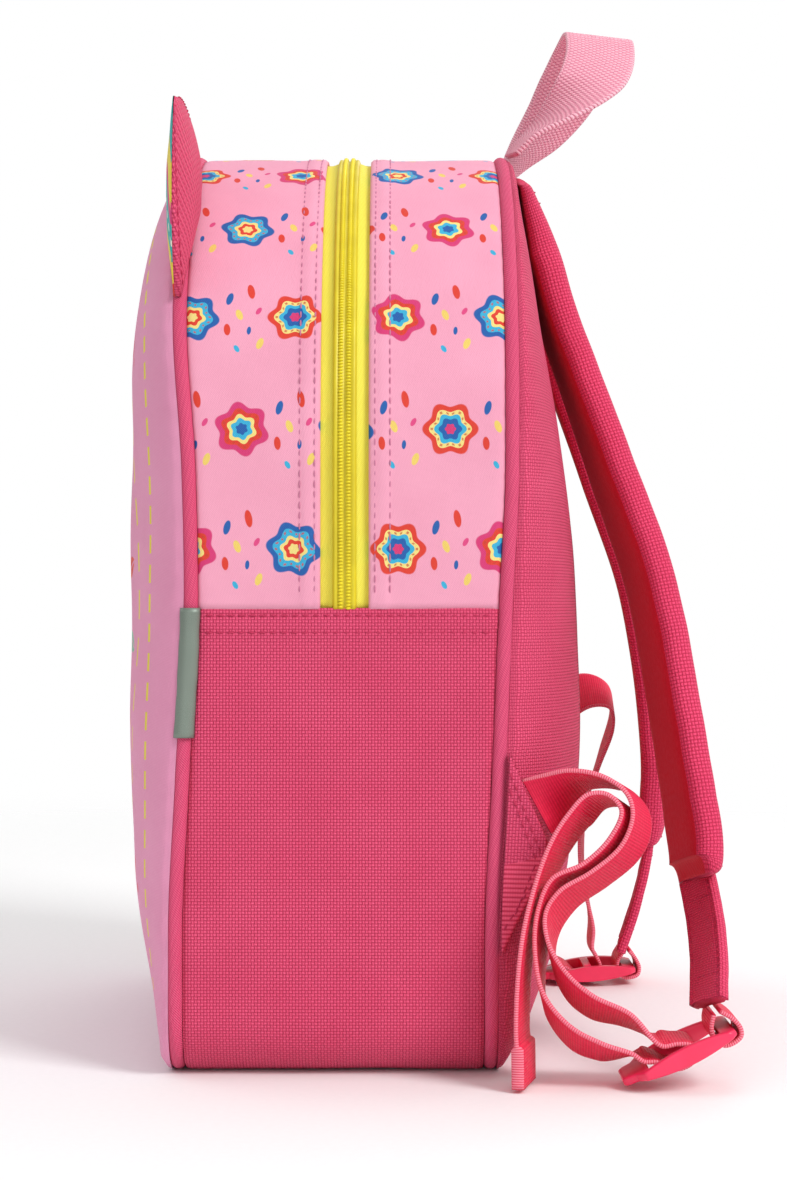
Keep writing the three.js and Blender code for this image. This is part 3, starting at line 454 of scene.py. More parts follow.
def smoothPlastic(name, light, dark, roughness, grain=0.00003):
    # moulded plastic: a little mottling, fine grain and uneven gloss
    look = bpy.data.materials.new(name)
    look.use_nodes = True
    tree = look.node_tree
    shader = tree.nodes["Principled BSDF"]
    shader.inputs["Specular IOR Level"].default_value = 0.5
    place = Wire(tree, tree.nodes.new("ShaderNodeTexCoord").outputs["Object"])
    wide = ramp(noiseOf(tree, place, 90.0, 2.0), 0.3, 0.7)
    fine = noiseOf(tree, place, 1800.0, 2.0)
    colour = blendColour(tree, wide * 0.35, linear(light), linear(dark))
    finishLook(tree, shader, colour, wide * 0.14 + (roughness - 0.05), fine, grain)
    return look


def reflectiveTape(name):
    look, tree, shader, place = startMaterial(name, 0.4, 0.6)
    beads = noiseOf(tree, place, 6.0, 1.0)
    age = useGroup(tree, handling, Vector=place)
    colour = blendColour(tree, ramp(beads, 0.35, 0.65), linear("6F7C70"), linear("8B968C"))
    colour = blendColour(tree, age["Wide"] * 0.25, colour, linear("5E6A60"))
    shader.inputs["Metallic"].default_value = 0.35
    finishLook(tree, shader, colour, beads * 0.25 + 0.28, beads, 0.00004)
    return look


def earBands(name):
    # plain bands across the front of the ears, with a row of light dots
    look, tree, shader, place = startMaterial(name, 0.62, 0.3, 0.05)
    u, v = split(tree, place)
    weave = useGroup(tree, twillWeave, Vector=place, Pitch=0.55, Slant=0.9)
    wave = (v * 0.45).use("SINE") * 1.1
    bands = steps(
        ((u + wave) / 44.0).use("MAXIMUM", 0.0),
        [
            (0, "E0402E"), (0.13, "F0DC4A"), (0.3, "3FB3B0"), (0.5, "E24A86"), (0.58, "F0DC4A"),
            (0.76, "3FB3B0"),
        ],
    )
    dots = {"pitch": 2.6, "height": 17.2}
    beside = ((v / dots["pitch"]).use("FRACT") - 0.5) * dots["pitch"]
    above = u - dots["height"]
    dotRow = ramp((beside * beside + above * above).use("SQRT"), 0.7, 0.9, 1.0, 0.0)
    colour = blendColour(tree, dotRow, bands, linear("F7F2E0"))
    # painted shade: the bands are darkened in the hollows of the twill
    colour = blendColour(tree, weave["Height"].flip() * 0.16, colour, linear("803050"), "MULTIPLY")
    plug(tree, colour, shader.inputs["Base Color"])
    emboss(tree, shader, weave["Height"], 0.00008)
    return look


looks = {
    "pink": basketCloth("pinkCanvas", "F25F86", "B01440"),
    "strap": basketCloth("strapCanvas", "F4507A", "B4123C", 1.2),
    "lining": twillCloth("strapLining", "D81A34", "B00E22", 0.5, 0.2, 0.7, 0.00006),
    "side": printedCloth("printedSides", "F4A9C2", scatterPrint),
    # the front print's ground is the sides' pink made a little darker and more purple: partly the panel's
    # own print colour, partly painted shade, the bluish tint of the front face in shade
    "front": printedCloth("printedFront", "EE9FC2", bigFlowerPrint),
    "ear": earBands("printedEars"),
    "piping": twillCloth("pipingCloth", "F0628A", "C22858", 0.8, 0.9, 0.65, 0.00022),
    "tape": twillCloth("zipTape", "FBF360", "E2D63C", 0.6, 1.0, 0.6, 0.00012),
    "coil": smoothPlastic("zipCoil", "EEDD28", "D4BE10", 0.35),
    "coilBed": smoothPlastic("zipCoilBed", "DAC81C", "B8A20C", 0.45),
    "slider": smoothPlastic("zipSlider", "F0E52C", "DCCB14", 0.3),
    "handle": webbingCloth(
        "handleWebbing", "FAB8C6", "DD7896", "FAC4D0", 25.0, 1.5, 1.35, 0.5, 0.00035
    ),
    "webbing": webbingCloth(
        "strapWebbing", "F02C56", "D6183E", "F7A0B2", 20.0, 0.95, 2.2, 0.0, 0.00012
    ),
    "lock": smoothPlastic("lockPlastic", "F23560", "DC1E46", 0.32),
    "reflective": reflectiveTape("reflectiveTape"),
    "thread": twillCloth("pinkThread", "DE8FAC", "C0688C", 0.5, 1.0, 0.55, 0.00005),
    "deepThread": twillCloth("deepThread", "D83A66", "A81C42", 0.5, 1.0, 0.55, 0.00005),
}
print("materials made:", len(looks))

# The bag's own sizes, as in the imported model, with the panels' rims drawn in
body = {"width": 230.0, "height": 310.0, "depth": 104.0, "corner": 20.0, "archCentre": 195.0}
seam = {
    "height": (-0.1, 0.15, 0.3, 0.5, 0.62, 0.8, 1.1),
    "front": (1.04, 1.04, 1.0, 0.945, 0.96, 1.035, 1.04),
    "back": (0.885, 0.89, 0.93, 0.98, 1.015, 1.02, 1.02),
}
puff = {
    # shares of the height, and the share of the bulge at each
    "front": [
        (0.0, 0.01, 0.03, 0.06, 0.1, 0.15, 0.22, 0.3, 0.4, 0.5, 0.6, 0.7, 0.8, 0.88, 0.95, 1.0),
        (0.0, 0.04, 0.13, 0.27, 0.43, 0.58, 0.74, 0.87, 0.96, 1.0, 0.97, 0.87, 0.72, 0.52, 0.24, 0.0),
    ],
    "back": [
        (0.0, 0.01, 0.03, 0.06, 0.1, 0.15, 0.22, 0.3, 0.45, 0.6, 0.7, 0.8, 0.88, 0.95, 1.0),
        (0.0, 0.13, 0.33, 0.53, 0.7, 0.83, 0.94, 1.0, 0.905, 0.675, 0.47, 0.245, 0.1, 0.02, 0.0),
    ],
    "fullness": {"front": (2.5, 0.75), "back": (3.0, 0.7)},
}
bulge = {"front": 22.6, "back": 26.5}
rim = {"offset": 3.0, "wall": 2.4, "seam": 2.45, "edge": 2.1, "drawnIn": 0.42, "drawnReach": 7.0}
cord = {"radius": 2.4, "proud": 1.1}


def smoothLook(xs, ys, at):
    # smooth line through a table, without overshoot
    xs, ys = np.array(xs, float), np.array(ys, float)
    slopes = np.diff(ys) / np.diff(xs)
    tangents = np.zeros(len(xs))
    for i in range(1, len(xs) - 1):
        if slopes[i - 1] * slopes[i] > 0:
            tangents[i] = 2 / (1 / slopes[i - 1] + 1 / slopes[i])
    tangents[0], tangents[-1] = slopes[0], slopes[-1]
    at = np.clip(np.asarray(at, float), xs[0], xs[-1])
    k = np.clip(np.searchsorted(xs, at, side="right") - 1, 0, len(xs) - 2)
    h = xs[k + 1] - xs[k]
    t = (at - xs[k]) / h
    a = (1 + 2 * t) * (1 - t) ** 2 * ys[k] + t * (1 - t) ** 2 * h * tangents[k]
    return a + t * t * (3 - 2 * t) * ys[k + 1] + t * t * (t - 1) * h * tangents[k + 1]


def seamY(face, z):
    reach = smoothLook(seam["height"], seam[face], np.asarray(z) / body["height"]) * body["depth"] / 2
    return -reach if face == "front" else reach


def halfWidthAt(z):
    half, corner = body["width"] / 2, body["corner"]
    z = np.asarray(z, float)
    arch = np.sqrt(np.maximum(half**2 - np.maximum(z - body["archCentre"], 0) ** 2, 0))
    low = half - corner + np.sqrt(np.maximum(corner**2 - np.maximum(corner - z, 0) ** 2, 0))
    return np.minimum(arch, low)


def panelY(face, x, z):
    z = np.asarray(z, float)
    middle = smoothLook(*puff[face], z / body["height"]) * bulge[face]
    across = np.minimum(np.abs(x) / np.maximum(halfWidthAt(z), 1), 1)
    power, root = puff["fullness"][face]
    # the rim is drawn in by its seam
    inset = np.minimum(body["width"] / 2 - np.hypot(x, np.maximum(z - body["archCentre"], 0)), z)
    drawn = 1 - rim["drawnIn"] * np.exp(-np.maximum(inset, 0) / rim["drawnReach"])
    stand = (rim["offset"] + rim["wall"]) * drawn + middle * (1 - across**power) ** root
    return seamY(face, z) + (-stand if face == "front" else stand)


def laidFlat(face, x, z, middleZ=150.0, count=24):
    # where a point of a panel lies when its cloth is flat: lengths over the surface
    shares = np.linspace(0, 1, count).reshape((count,) + (1,) * np.ndim(x))
    xs, zs = shares * x, middleZ + shares * (z - middleZ)
    sideways = np.hypot(np.diff(xs, axis=0), np.diff(panelY(face, xs, z + 0 * xs), axis=0)).sum(axis=0)
    upwards = np.hypot(np.diff(zs, axis=0), np.diff(panelY(face, x + 0 * zs, zs), axis=0)).sum(axis=0)
    return np.stack([np.sign(x) * sideways, middleZ + np.sign(z - middleZ) * upwards], -1)


# Runs along the outline: x, z and the way out, one row for each point
def archRun(inset, spacing=2.2):
    radius = body["width"] / 2 - inset
    angle = np.linspace(0, math.pi, int(math.pi * body["width"] / 2 / spacing))
    c, s = np.cos(angle), np.sin(angle)
    return np.stack([radius * c, body["archCentre"] + radius * s, c, s], 1)


def sideRun(side, fromZ, toZ, inset, spacing=2.2, count=None):
    z = np.linspace(fromZ, toZ, count or max(int(abs(toZ - fromZ) / spacing), 3))
    x = np.full(len(z), side * (body["width"] / 2 - inset))
    return np.stack([x, z, np.full(len(z), float(side)), np.zeros(len(z))], 1)


def cornerRun(side, inset, lift, count=14):
    radius = max(body["corner"] - inset, 2)
    share = np.linspace(0, 1, count)
    angle = (math.pi / 2) * (share if side < 0 else 1 - share)
    outX, outZ = side * np.cos(angle), -np.sin(angle)
    x = side * (body["width"] / 2 - inset - radius) + radius * outX
    return np.stack([x, lift + radius + radius * outZ, outX, outZ], 1)


def bottomRun(inset, lift, count):
    end = body["width"] / 2 - inset - max(body["corner"] - inset, 2)
    x = np.linspace(-end, end, count)
    return np.stack([x, np.full(count, lift), np.zeros(count), -np.ones(count)], 1)


def wholeRun(inset, lift=None):
    lift = inset if lift is None else lift
    top = lift + max(body["corner"] - inset, 2)
    return np.concatenate([
        archRun(inset),
        sideRun(-1, body["archCentre"], top, inset, count=64)[1:-1],
        cornerRun(-1, inset, lift),
        bottomRun(inset, lift, 60)[1:-1],
        cornerRun(1, inset, lift),
        sideRun(1, top, body["archCentre"], inset, count=64)[1:-1],
    ])


def overRun(endZ, inset=0.0):
    return np.concatenate([
        sideRun(1, endZ, body["archCentre"], inset)[:-1],
        archRun(inset),
        sideRun(-1, body["archCentre"], endZ, inset)[1:],
    ])


def underRun(endZ):
    return np.concatenate([
        sideRun(-1, endZ, body["corner"], 0)[:-1],
        cornerRun(-1, 0, 0),
        bottomRun(0, 0, 84)[1:-1],
        cornerRun(1, 0, 0),
        sideRun(1, body["corner"], endZ, 0)[1:],
    ])


def lengthAlong(points):
    gaps = np.linalg.norm(np.diff(points, axis=0), axis=1)
    return np.concatenate([[0], np.cumsum(gaps)])


def ripple(a, b, size, seed):
    # soft uneven waves of about the given size, between -1 and 1
    a, b = np.asarray(a, float) / size, np.asarray(b, float) / size
    total = np.sin(2.1 * a + 1.3 * b + seed) + np.sin(-1.7 * a + 2.3 * b + 2.1 * seed)
    total = total + np.sin(3.3 * a - 1.1 * b + 0.7 * seed) + np.sin(0.9 * a + 3.1 * b - 1.9 * seed)
    return total / 4


def toObject(name, points, faces, maps, looksUsed, faceLooks=None):
    mesh = bpy.data.meshes.new(name)
    mesh.from_pydata((np.asarray(points, float) / 1000).tolist(), [], faces)
    layer = mesh.uv_layers.new(name="clothMap")
    layer.data.foreach_set("uv", np.asarray(maps, np.float32).ravel())
    for look in looksUsed:
        mesh.materials.append(looks[look])
    if faceLooks is not None:
        mesh.polygons.foreach_set("material_index", np.asarray(faceLooks, np.int32))
    mesh.polygons.foreach_set("use_smooth", np.ones(len(mesh.polygons), bool))
    mesh.update()
    piece = bpy.data.objects.new(name, mesh)
    bpy.context.scene.collection.objects.link(piece)
    return piece


def skin(name, rows, along, around, looksUsed, columnLooks=None, ring=False, caps=True):
    # closed skin over a row of closed sections. along and around are the cloth's own
    # measures down the row and round the section, one longer than a closed count
    rows = np.asarray(rows, float)
    m, n = rows.shape[:2]
    points = rows.reshape(-1, 3)
    last = m if ring else m - 1
    i, j = np.meshgrid(np.arange(last), np.arange(n), indexing="ij")
    i1, j1 = (i + 1) % m, (j + 1) % n
    quads = np.stack([i * n + j, i * n + j1, i1 * n + j1, i1 * n + j], -1).reshape(-1, 4)
    along = np.asarray(along, float)
    around = np.broadcast_to(np.asarray(around, float), (m, n + 1))
    corner = [(i, j), (i, j + 1), (i + 1, j + 1), (i + 1, j)]
    maps = np.stack(
        [np.stack([along[a] + 0 * b, around[a % m, b]], -1) for a, b in corner], 2
    ).reshape(-1, 4, 2)
    a, b, c, d = (points[quads[:, k]] for k in range(4))
    volume = np.einsum("ij,ij->", a, np.cross(b, c)) + np.einsum("ij,ij->", a, np.cross(c, d))
    if volume < 0:
        quads, maps = quads[:, ::-1], maps[:, ::-1]
    faces = quads.tolist()
    maps = maps.reshape(-1, 2).tolist()
    faceLooks = None if columnLooks is None else np.tile(columnLooks, last).tolist()
    if caps and not ring:
        for row, turned in ((0, volume < 0), (m - 1, volume >= 0)):
            order = list(range(n)) if turned else list(range(n))[::-1]
            faces.append([row * n + k for k in order])
            maps.extend([[along[row], around[row, k]] for k in order])
            if faceLooks is not None:
                faceLooks.append(columnLooks[0])
    return toObject(name, points, faces, maps, looksUsed, faceLooks)


def dress(piece, slot, *nodes):
    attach(piece, "root")
    if nodes:
        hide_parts(*nodes)
    return piece


# Stitches: short plump threads, half sunk in the cloth, one mesh for each line of sewing
stitch = {"length": 2.6, "space": 0.7, "radius": 0.3, "sink": 0.35}


def sewLine(name, lines, look, slot):
    allPoints, faces, maps = [], [], []
    sides = 6
    for points, outs in lines:
        points, outs = np.asarray(points, float), np.asarray(outs, float)
        run = lengthAlong(points)
        step = stitch["length"] + stitch["space"]
        count = int(run[-1] / step)
        for k in range(count):
            ends = []
            for share in (-0.5, -0.3, 0.0, 0.3, 0.5):
                at = run[-1] * (k + 0.5) / count + share * stitch["length"]
                place = np.array([np.interp(at, run, points[:, q]) for q in range(3)])
                out = np.array([np.interp(at, run, outs[:, q]) for q in range(3)])
                ends.append((place, out / np.linalg.norm(out), share))
            way = ends[-1][0] - ends[0][0]
            way = way / np.linalg.norm(way)
            base = len(allPoints)
            for place, out, share in ends:
                thick = stitch["radius"] * math.sqrt(max(1 - (2 * share) ** 2 * 0.88, 0.05))
                lift = stitch["radius"] * (0.6 - 3.4 * share * share - stitch["sink"])
                cross = np.cross(way, out)
                for s in range(sides):
                    angle = 2 * math.pi * s / sides
                    spoke = cross * math.cos(angle) + out * math.sin(angle)
                    allPoints.append(place + out * lift + spoke * thick)
            for r in range(len(ends) - 1):
                for s in range(sides):
                    t = (s + 1) % sides
                    a, b = base + r * sides, base + (r + 1) * sides
                    faces.append([a + s, b + s, b + t, a + t])
                    maps.extend([[r, s], [r + 1, s], [r + 1, s + 1], [r, s + 1]])
            tail = base + (len(ends) - 1) * sides
            faces.append([base + s for s in range(sides)])
            faces.append([tail + s for s in range(sides)][::-1])
            maps.extend([[0, s] for s in range(sides)] + [[1, s] for s in range(sides)])
    return dress(toObject(name, allPoints, faces, maps, [look]), slot)


# Front and back panels: a skin of nested outlines from the rim to the middle line
panelCloth = {
    "rings": [
        0, 0.5, 1.2, 2.2, 3.6, 5.4, 7.6, 10, 13, 16, 20, 24, 29, 34, 40, 46, 53, 60, 68, 76, 85, 95,
        105, 113.5,
    ],
    "pucker": 0.3, "puckerAt": 2.5, "puckerReach": 3.0,
    "sag": 0.55, "sagSize": 26, "sagFrom": 10, "turned": 2.4,
}


def panelSkin(name, face, wall, lookUsed, slot, node):
    side = -1 if face == "front" else 1
    outer = []
    for k, inset in enumerate(panelCloth["rings"]):
        run = wholeRun(inset)
        x, z = run[:, 0], run[:, 1]
        y = panelY(face, x, z)
        along = np.arange(len(run)) * 2.2
        nearSeam = math.exp(-((inset - panelCloth["puckerAt"]) / panelCloth["puckerReach"]) ** 2)
        pucker = panelCloth["pucker"] * np.sin(along / 1.6 + 2 * np.sin(along / 9)) * nearSeam
        sag = panelCloth["sag"] * ripple(x, z, panelCloth["sagSize"], 1.0 if face == "front" else 4.0)
        y = y + side * (pucker + sag * (1 - math.exp(-inset / panelCloth["sagFrom"])))
        if k == 0:
            y = seamY(face, z) + side * (rim["edge"] + 0.05)
        if k == 1:
            y = y - side * 0.3
        outer.append(np.stack([x, y, z], 1))
    outer = np.array(outer)
    flat = laidFlat(face, outer[:, :, 0], outer[:, :, 2])
    flat[0] = flat[0] + wholeRun(0)[:, 2:] * panelCloth["turned"]
    inner = outer.copy()
    inner[:, :, 1] = outer[:, :, 1] - side * wall
    base = seamY(face, outer[:, :, 2]) + side * rim["edge"]
    inner[:, :, 1] = side * np.maximum(side * inner[:, :, 1], side * base)
    inner[0, :, 1] = base[0]
    stack = np.concatenate([outer[::-1], inner])
    m, n = stack.shape[:2]
    points = stack.reshape(-1, 3)
    i, j = np.meshgrid(np.arange(m - 1), np.arange(n), indexing="ij")
    j1 = (j + 1) % n
    quads = np.stack([i * n + j, i * n + j1, (i + 1) * n + j1, (i + 1) * n + j], -1).reshape(-1, 4)
    if side > 0:
        quads = quads[:, ::-1]
    maps = np.concatenate([flat[::-1], flat]).reshape(-1, 2)[quads.ravel()]
    piece = toObject(name, points, quads.tolist(), maps, [lookUsed])
    closeMiddle(piece)
    return dress(piece, slot, node)


def closeMiddle(piece):
    # fills the innermost outline of both faces and turns all faces outwards
    bpy.context.view_layer.objects.active = piece
    piece.select_set(True)
    bpy.ops.object.mode_set(mode="EDIT")
    bpy.ops.mesh.select_all(action="DESELECT")
    bpy.ops.mesh.select_non_manifold()
    bpy.ops.mesh.fill_holes(sides=0)
    bpy.ops.mesh.select_all(action="SELECT")
    bpy.ops.mesh.normals_make_consistent(inside=False)
    bpy.ops.object.mode_set(mode="OBJECT")
    piece.select_set(False)


panelSkin("frontPanel", "front", 2.2, "front", "front_print", "front_panel")
backPanel = panelSkin("backPanel", "back", 5.5, "pink", "pink_cloth", "back_panel")
print("panels made")

# Printed strips either side of the zip, with their folded edges and two rows of sewing each
zipSizes = {
    "centre": -0.5, "end": 149.0, "tapeShown": 15.3, "tapeUnder": 9.0, "tapeTop": -1.9, "tapeWall": 1.2,
    "split": 0.15, "swell": 0.7, "swellAt": 3.9, "swellReach": 1.3,
}
tapeFront = zipSizes["centre"] - zipSizes["tapeShown"] / 2
tapeBack = zipSizes["centre"] + zipSizes["tapeShown"] / 2
upper = overRun(zipSizes["end"] - 0.4)
upperLength = lengthAlong(upper[:, :2])
placket = {
    "rows": {"front": (-14.7, -10.0), "back": (9.1, 13.9)}, "wall": 1.6, "fold": 0.45, "width": 7.2,
    "turned": 0.9, "uneven": 0.25,
}
sewn = {
    "dip": 0.7, "dipReach": 0.9, "pucker": 0.14, "puckerPitch": 1.15, "puckerReach": 4.0,
    "dent": 0.3, "dentSwing": 0.12, "dentWidth": 0.8, "dentPitch": 3.3,
}


def besideSeam(gap, along, drift):
    # cloth dips into a seam and puckers beside it
    pucker = sewn["pucker"] * np.sin(along / sewn["puckerPitch"] + np.sin(along / drift))
    return pucker * np.exp(-gap / sewn["puckerReach"]) - sewn["dip"] * np.exp(-gap / sewn["dipReach"])


def sewnDent(gap, along):
    # a row of sewing pulls the cloth in, most at each stitch's end
    pull = sewn["dent"] + sewn["dentSwing"] * np.cos(2 * math.pi * along / sewn["dentPitch"])
    return np.exp(-((gap / sewn["dentWidth"]) ** 2)) * pull


def stripRows(run, fromY, toY, outAt, columns, wall):
    # outer face in fine columns, then the two corners of the inner face
    shares = np.linspace(0, 1, columns)
    y0, y1 = fromY(run[:, 1]), toY(run[:, 1])
    y = y0[:, None] + (y1 - y0)[:, None] * shares
    out = outAt(y, y0[:, None], y1[:, None])
    y = np.concatenate([y, y1[:, None], y0[:, None]], 1)
    out = np.concatenate([out, np.full((len(run), 2), -wall)], 1)
    x = run[:, 0, None] + run[:, 2, None] * out
    z = run[:, 1, None] + run[:, 3, None] * out
    rows = np.stack([x, y, z], -1)
    around = np.concatenate([y, y[:, :1]], 1)
    around[:, -3:] = np.array([0, 1, 2]) + around[:, columns - 1, None]
    return rows, around


def atY(y):
    return lambda z: z * 0 + y


def fromFront(z):
    return seamY("front", z) + rim["seam"]


def toBack(z):
    return seamY("back", z) - rim["seam"]


def upperStrip(name, face, node):
    inner = tapeFront if face == "front" else tapeBack

    def outAt(y, y0, y1):
        along = upperLength[:, None]
        seamGap = np.abs(y - (y0 if face == "front" else y1))
        edgeGap = np.abs(y - inner)
        out = besideSeam(seamGap, along, 7) + placket["uneven"] * ripple(along, y, 16, 2.0)
        out = out + placket["fold"] / (1 + np.exp((edgeGap - placket["width"]) * 2.5))
        out = out - placket["turned"] * np.exp(-edgeGap / 0.35)
        for rowY in placket["rows"][face]:
            out = out - sewnDent(y - rowY, along)
        return out

    ends = (fromFront, atY(tapeFront)) if face == "front" else (atY(tapeBack), toBack)
    rows, around = stripRows(upper, *ends, outAt, 44, placket["wall"])
    piece = skin(name, rows, upperLength, around, ["side"])
    return dress(piece, "side_print", node)


upperStrip("upperStripFront", "front", "upper_gusset_front")
upperStrip("upperStripBack", "back", "upper_gusset_back")


def alongOver(y, lift=0.12):
    x, z, outX, outZ = upper[2:-2].T
    return np.stack([x + outX * lift, x * 0 + y, z + outZ * lift], 1), np.stack([outX, x * 0, outZ], 1)


sewLine(
    "placketSewing",
    [alongOver(y) for rows in placket["rows"].values() for y in rows],
    "thread",
    "side_print",
)
print("upper strips made")

# Zip: two tapes, the coil's bed and its teeth
def zipTape(name, fromY, toY, node):
    def outAt(y, y0, y1):
        gap = np.abs(y - zipSizes["centre"])
        swell = np.exp(-(((gap - zipSizes["swellAt"]) / zipSizes["swellReach"]) ** 2))
        return zipSizes["tapeTop"] + zipSizes["swell"] * swell + 0 * upperLength[:, None]

    wall = zipSizes["tapeWall"] - zipSizes["tapeTop"]
    rows, around = stripRows(upper, atY(fromY), atY(toY), outAt, 30, wall)
    dress(skin(name, rows, upperLength, around, ["tape"]), "zip_tape", node)


zipTape(
    "zipTapeFront", tapeFront - zipSizes["tapeUnder"], zipSizes["centre"] - zipSizes["split"],
    "zip_tape_front",
)
zipTape(
    "zipTapeBack", zipSizes["centre"] + zipSizes["split"], tapeBack + zipSizes["tapeUnder"],
    "zip_tape_back",
)

coilProfile = [
    (-3.8, -1.6), (-3.75, -0.7), (-3.4, 0.1), (-2.9, 0.35), (-2.4, 0.2), (-2.0, -0.1), (-1.2, 0.3),
    (-0.5, 0.1), (0.0, -0.35), (0.5, 0.1), (1.2, 0.3), (2.0, -0.1), (2.4, 0.2), (2.9, 0.35),
    (3.4, 0.1), (3.75, -0.7), (3.8, -1.6),
]
coilRows = np.array([
    [(x + nx * out, zipSizes["centre"] + y, z + nz * out) for y, out in coilProfile]
    for x, z, nx, nz in upper
])
coilAround = lengthAlong(np.array(coilProfile + coilProfile[:1]))
coilBody = skin("zipCoilBody", coilRows, upperLength, coilAround, ["coilBed"])
dress(coilBody, "zip_coil", "zip_coil")

tooth = {"pitch": 1.05, "along": 0.46, "across": 0.85, "up": 0.95, "aside": 1.25}


def addTeeth():
    # one small dome for each turn of the coil, on both sides of the middle
    points, faces, maps = [], [], []
    rings = [(1.0, 0.0), (0.9, 0.45), (0.6, 0.8), (0.2, 0.97)]
    sides = 8
    total = upperLength[-1]
    count = int(total / tooth["pitch"])
    for k in range(count):
        for side in (-1, 1):
            at = (k + (0.25 if side > 0 else 0.75)) * total / count
            x, z, nx, nz = (np.interp(at, upperLength, upper[:, q]) for q in range(4))
            base = len(points)
            for width, height in rings:
                for s in range(sides):
                    angle = 2 * math.pi * s / sides
                    along = tooth["along"] * width * math.cos(angle)
                    across = tooth["across"] * width * math.sin(angle)
                    out = 0.05 + tooth["up"] * height
                    points.append((
                        x + nx * out - nz * along,
                        zipSizes["centre"] + side * tooth["aside"] + across,
                        z + nz * out + nx * along,
                    ))
            for r in range(len(rings) - 1):
                for s in range(sides):
                    t = (s + 1) % sides
                    a, b = base + r * sides, base + (r + 1) * sides
                    faces.append([a + s, a + t, b + t, b + s])
                    maps.extend([[r, s], [r, s + 1], [r + 1, s + 1], [r + 1, s]])
            top = base + (len(rings) - 1) * sides
            faces.append([top + s for s in range(sides)])
            faces.append([base + s for s in range(sides)][::-1])
            maps.extend([[0, 0]] * (2 * sides))
    dress(toObject("zipTeeth", points, faces, maps, ["coil"]), "zip_coil")


addTeeth()
print("zip made")

# Lower part: sides and bottom in one length of canvas, hemmed over the printed strips
hem = {
    "rows": (146.6, 141.2), "height": 9.5, "fold": 0.5, "turned": 1.0, "uneven": 0.35, "wall": 1.6,
    "denseRows": 30, "denseHeight": 12.0, "sewingLift": 0.25, "sewingShort": 4.5,
}


def denserEnds(run):
    # more rows where the hem is folded
    count, top = hem["denseRows"], zipSizes["end"]
    z = np.linspace(top, top - hem["denseHeight"], count)
    left = np.stack([np.full(count, -body["width"] / 2), z, np.full(count, -1.0), np.zeros(count)], 1)
    right = left[::-1] * np.array([-1, 1, -1, 1])
    middle = run[run[:, 1] < top - hem["denseHeight"] - 1]
    return np.concatenate([left, middle, right])


lower = denserEnds(underRun(zipSizes["end"]))
lowerLength = lengthAlong(lower[:, :2])


def lowerOut(y, y0, y1):
    along = lowerLength[:, None]
    z, facingDown = lower[:, 1, None], np.abs(lower[:, 3, None])
    out = besideSeam(np.minimum(y - y0, y1 - y), along, 6) + hem["uneven"] * ripple(along, y, 22, 3.0)
    fromEnd = np.minimum(along, lowerLength[-1] - along)
    out = out + hem["fold"] / (1 + np.exp((fromEnd - hem["height"]) * 2.0))
    out = out - hem["turned"] * np.exp(-fromEnd / 0.5)
    for rowZ in hem["rows"]:
        out = out - sewnDent(z - rowZ, y)
    return np.where(facingDown > 0.9, np.minimum(out, 0.0), out)


rows, around = stripRows(lower, fromFront, toBack, lowerOut, 60, hem["wall"])
dress(skin("lowerSides", rows, lowerLength, around, ["pink"]), "pink_cloth", "lower_gusset")


def hemLine(side, z, count=30):
    short = hem["sewingShort"]
    y = np.linspace(float(seamY("front", z)) + short, float(seamY("back", z)) - short, count)
    x = side * (body["width"] / 2 + hem["sewingLift"])
    return np.stack([np.full(count, x), y, np.full(count, z)], 1), np.tile([side, 0, 0], (count, 1))


sewLine(
    "hemSewing",
    [hemLine(side, z) for side in (-1, 1) for z in hem["rows"]],
    "deepThread",
    "pink_cloth",
)
print("lower part made")

# Piped seams and the reflective sleeves over the front one
pipingLine = wholeRun(cord["radius"] - cord["proud"], cord["radius"])


def roundRows(run, yAt, radius, sides, wobble):
    angle = np.arange(sides) * 2 * math.pi / sides
    along = lengthAlong(run[:, :2])
    swell = radius * (1 + wobble * ripple(along, along * 0, 5, 5.0))[:, None]
    out = swell * np.cos(angle)
    y = yAt(run[:, 1])[:, None] + swell * np.sin(angle)
    x = run[:, 0, None] + run[:, 2, None] * out
    z = run[:, 1, None] + run[:, 3, None] * out
    return np.stack([x, y, z], -1)


for face in ("front", "back"):
    rows = roundRows(pipingLine, lambda z: seamY(face, z), cord["radius"], 16, 0.02)
    closed = np.concatenate([pipingLine, pipingLine[:1]])
    around = np.linspace(0, 2 * math.pi * cord["radius"], 17)
    piping = skin(face + "Piping", rows, lengthAlong(closed[:, :2]), around, ["piping"], ring=True)
    dress(piping, "piping_cloth", face + "_piping")

sleeve = {"inner": 2.9, "outer": 3.7, "half": 1.05, "bottom": 108.0}


def reflectiveSleeve(name, side, node):
    run = sideRun(side, sleeve["bottom"], zipSizes["end"], cord["radius"] - cord["proud"], 1.5)
    angle = np.linspace(-sleeve["half"], sleeve["half"], 15)
    profile = [(sleeve["outer"], a) for a in angle] + [(sleeve["inner"], a) for a in angle[::-1]]
    rows = []
    for x, z, nx, nz in run:
        fold = 0.12 * math.sin(z / 2.1) * math.sin(z / 5.3)
        rows.append([
            (x + nx * (r + fold) * math.cos(a), float(seamY("front", z)) + (r + fold) * math.sin(a), z)
            for r, a in profile
        ])
    around = np.linspace(0, 20, len(profile) + 1)
    piece = skin(name, rows, lengthAlong(run[:, :2]), around, ["reflective"])
    dress(piece, "reflective", node)


reflectiveSleeve("reflectiveRight", 1, "reflective_sleeve_right")
reflectiveSleeve("reflectiveLeft", -1, "reflective_sleeve_left")
print("piping made")

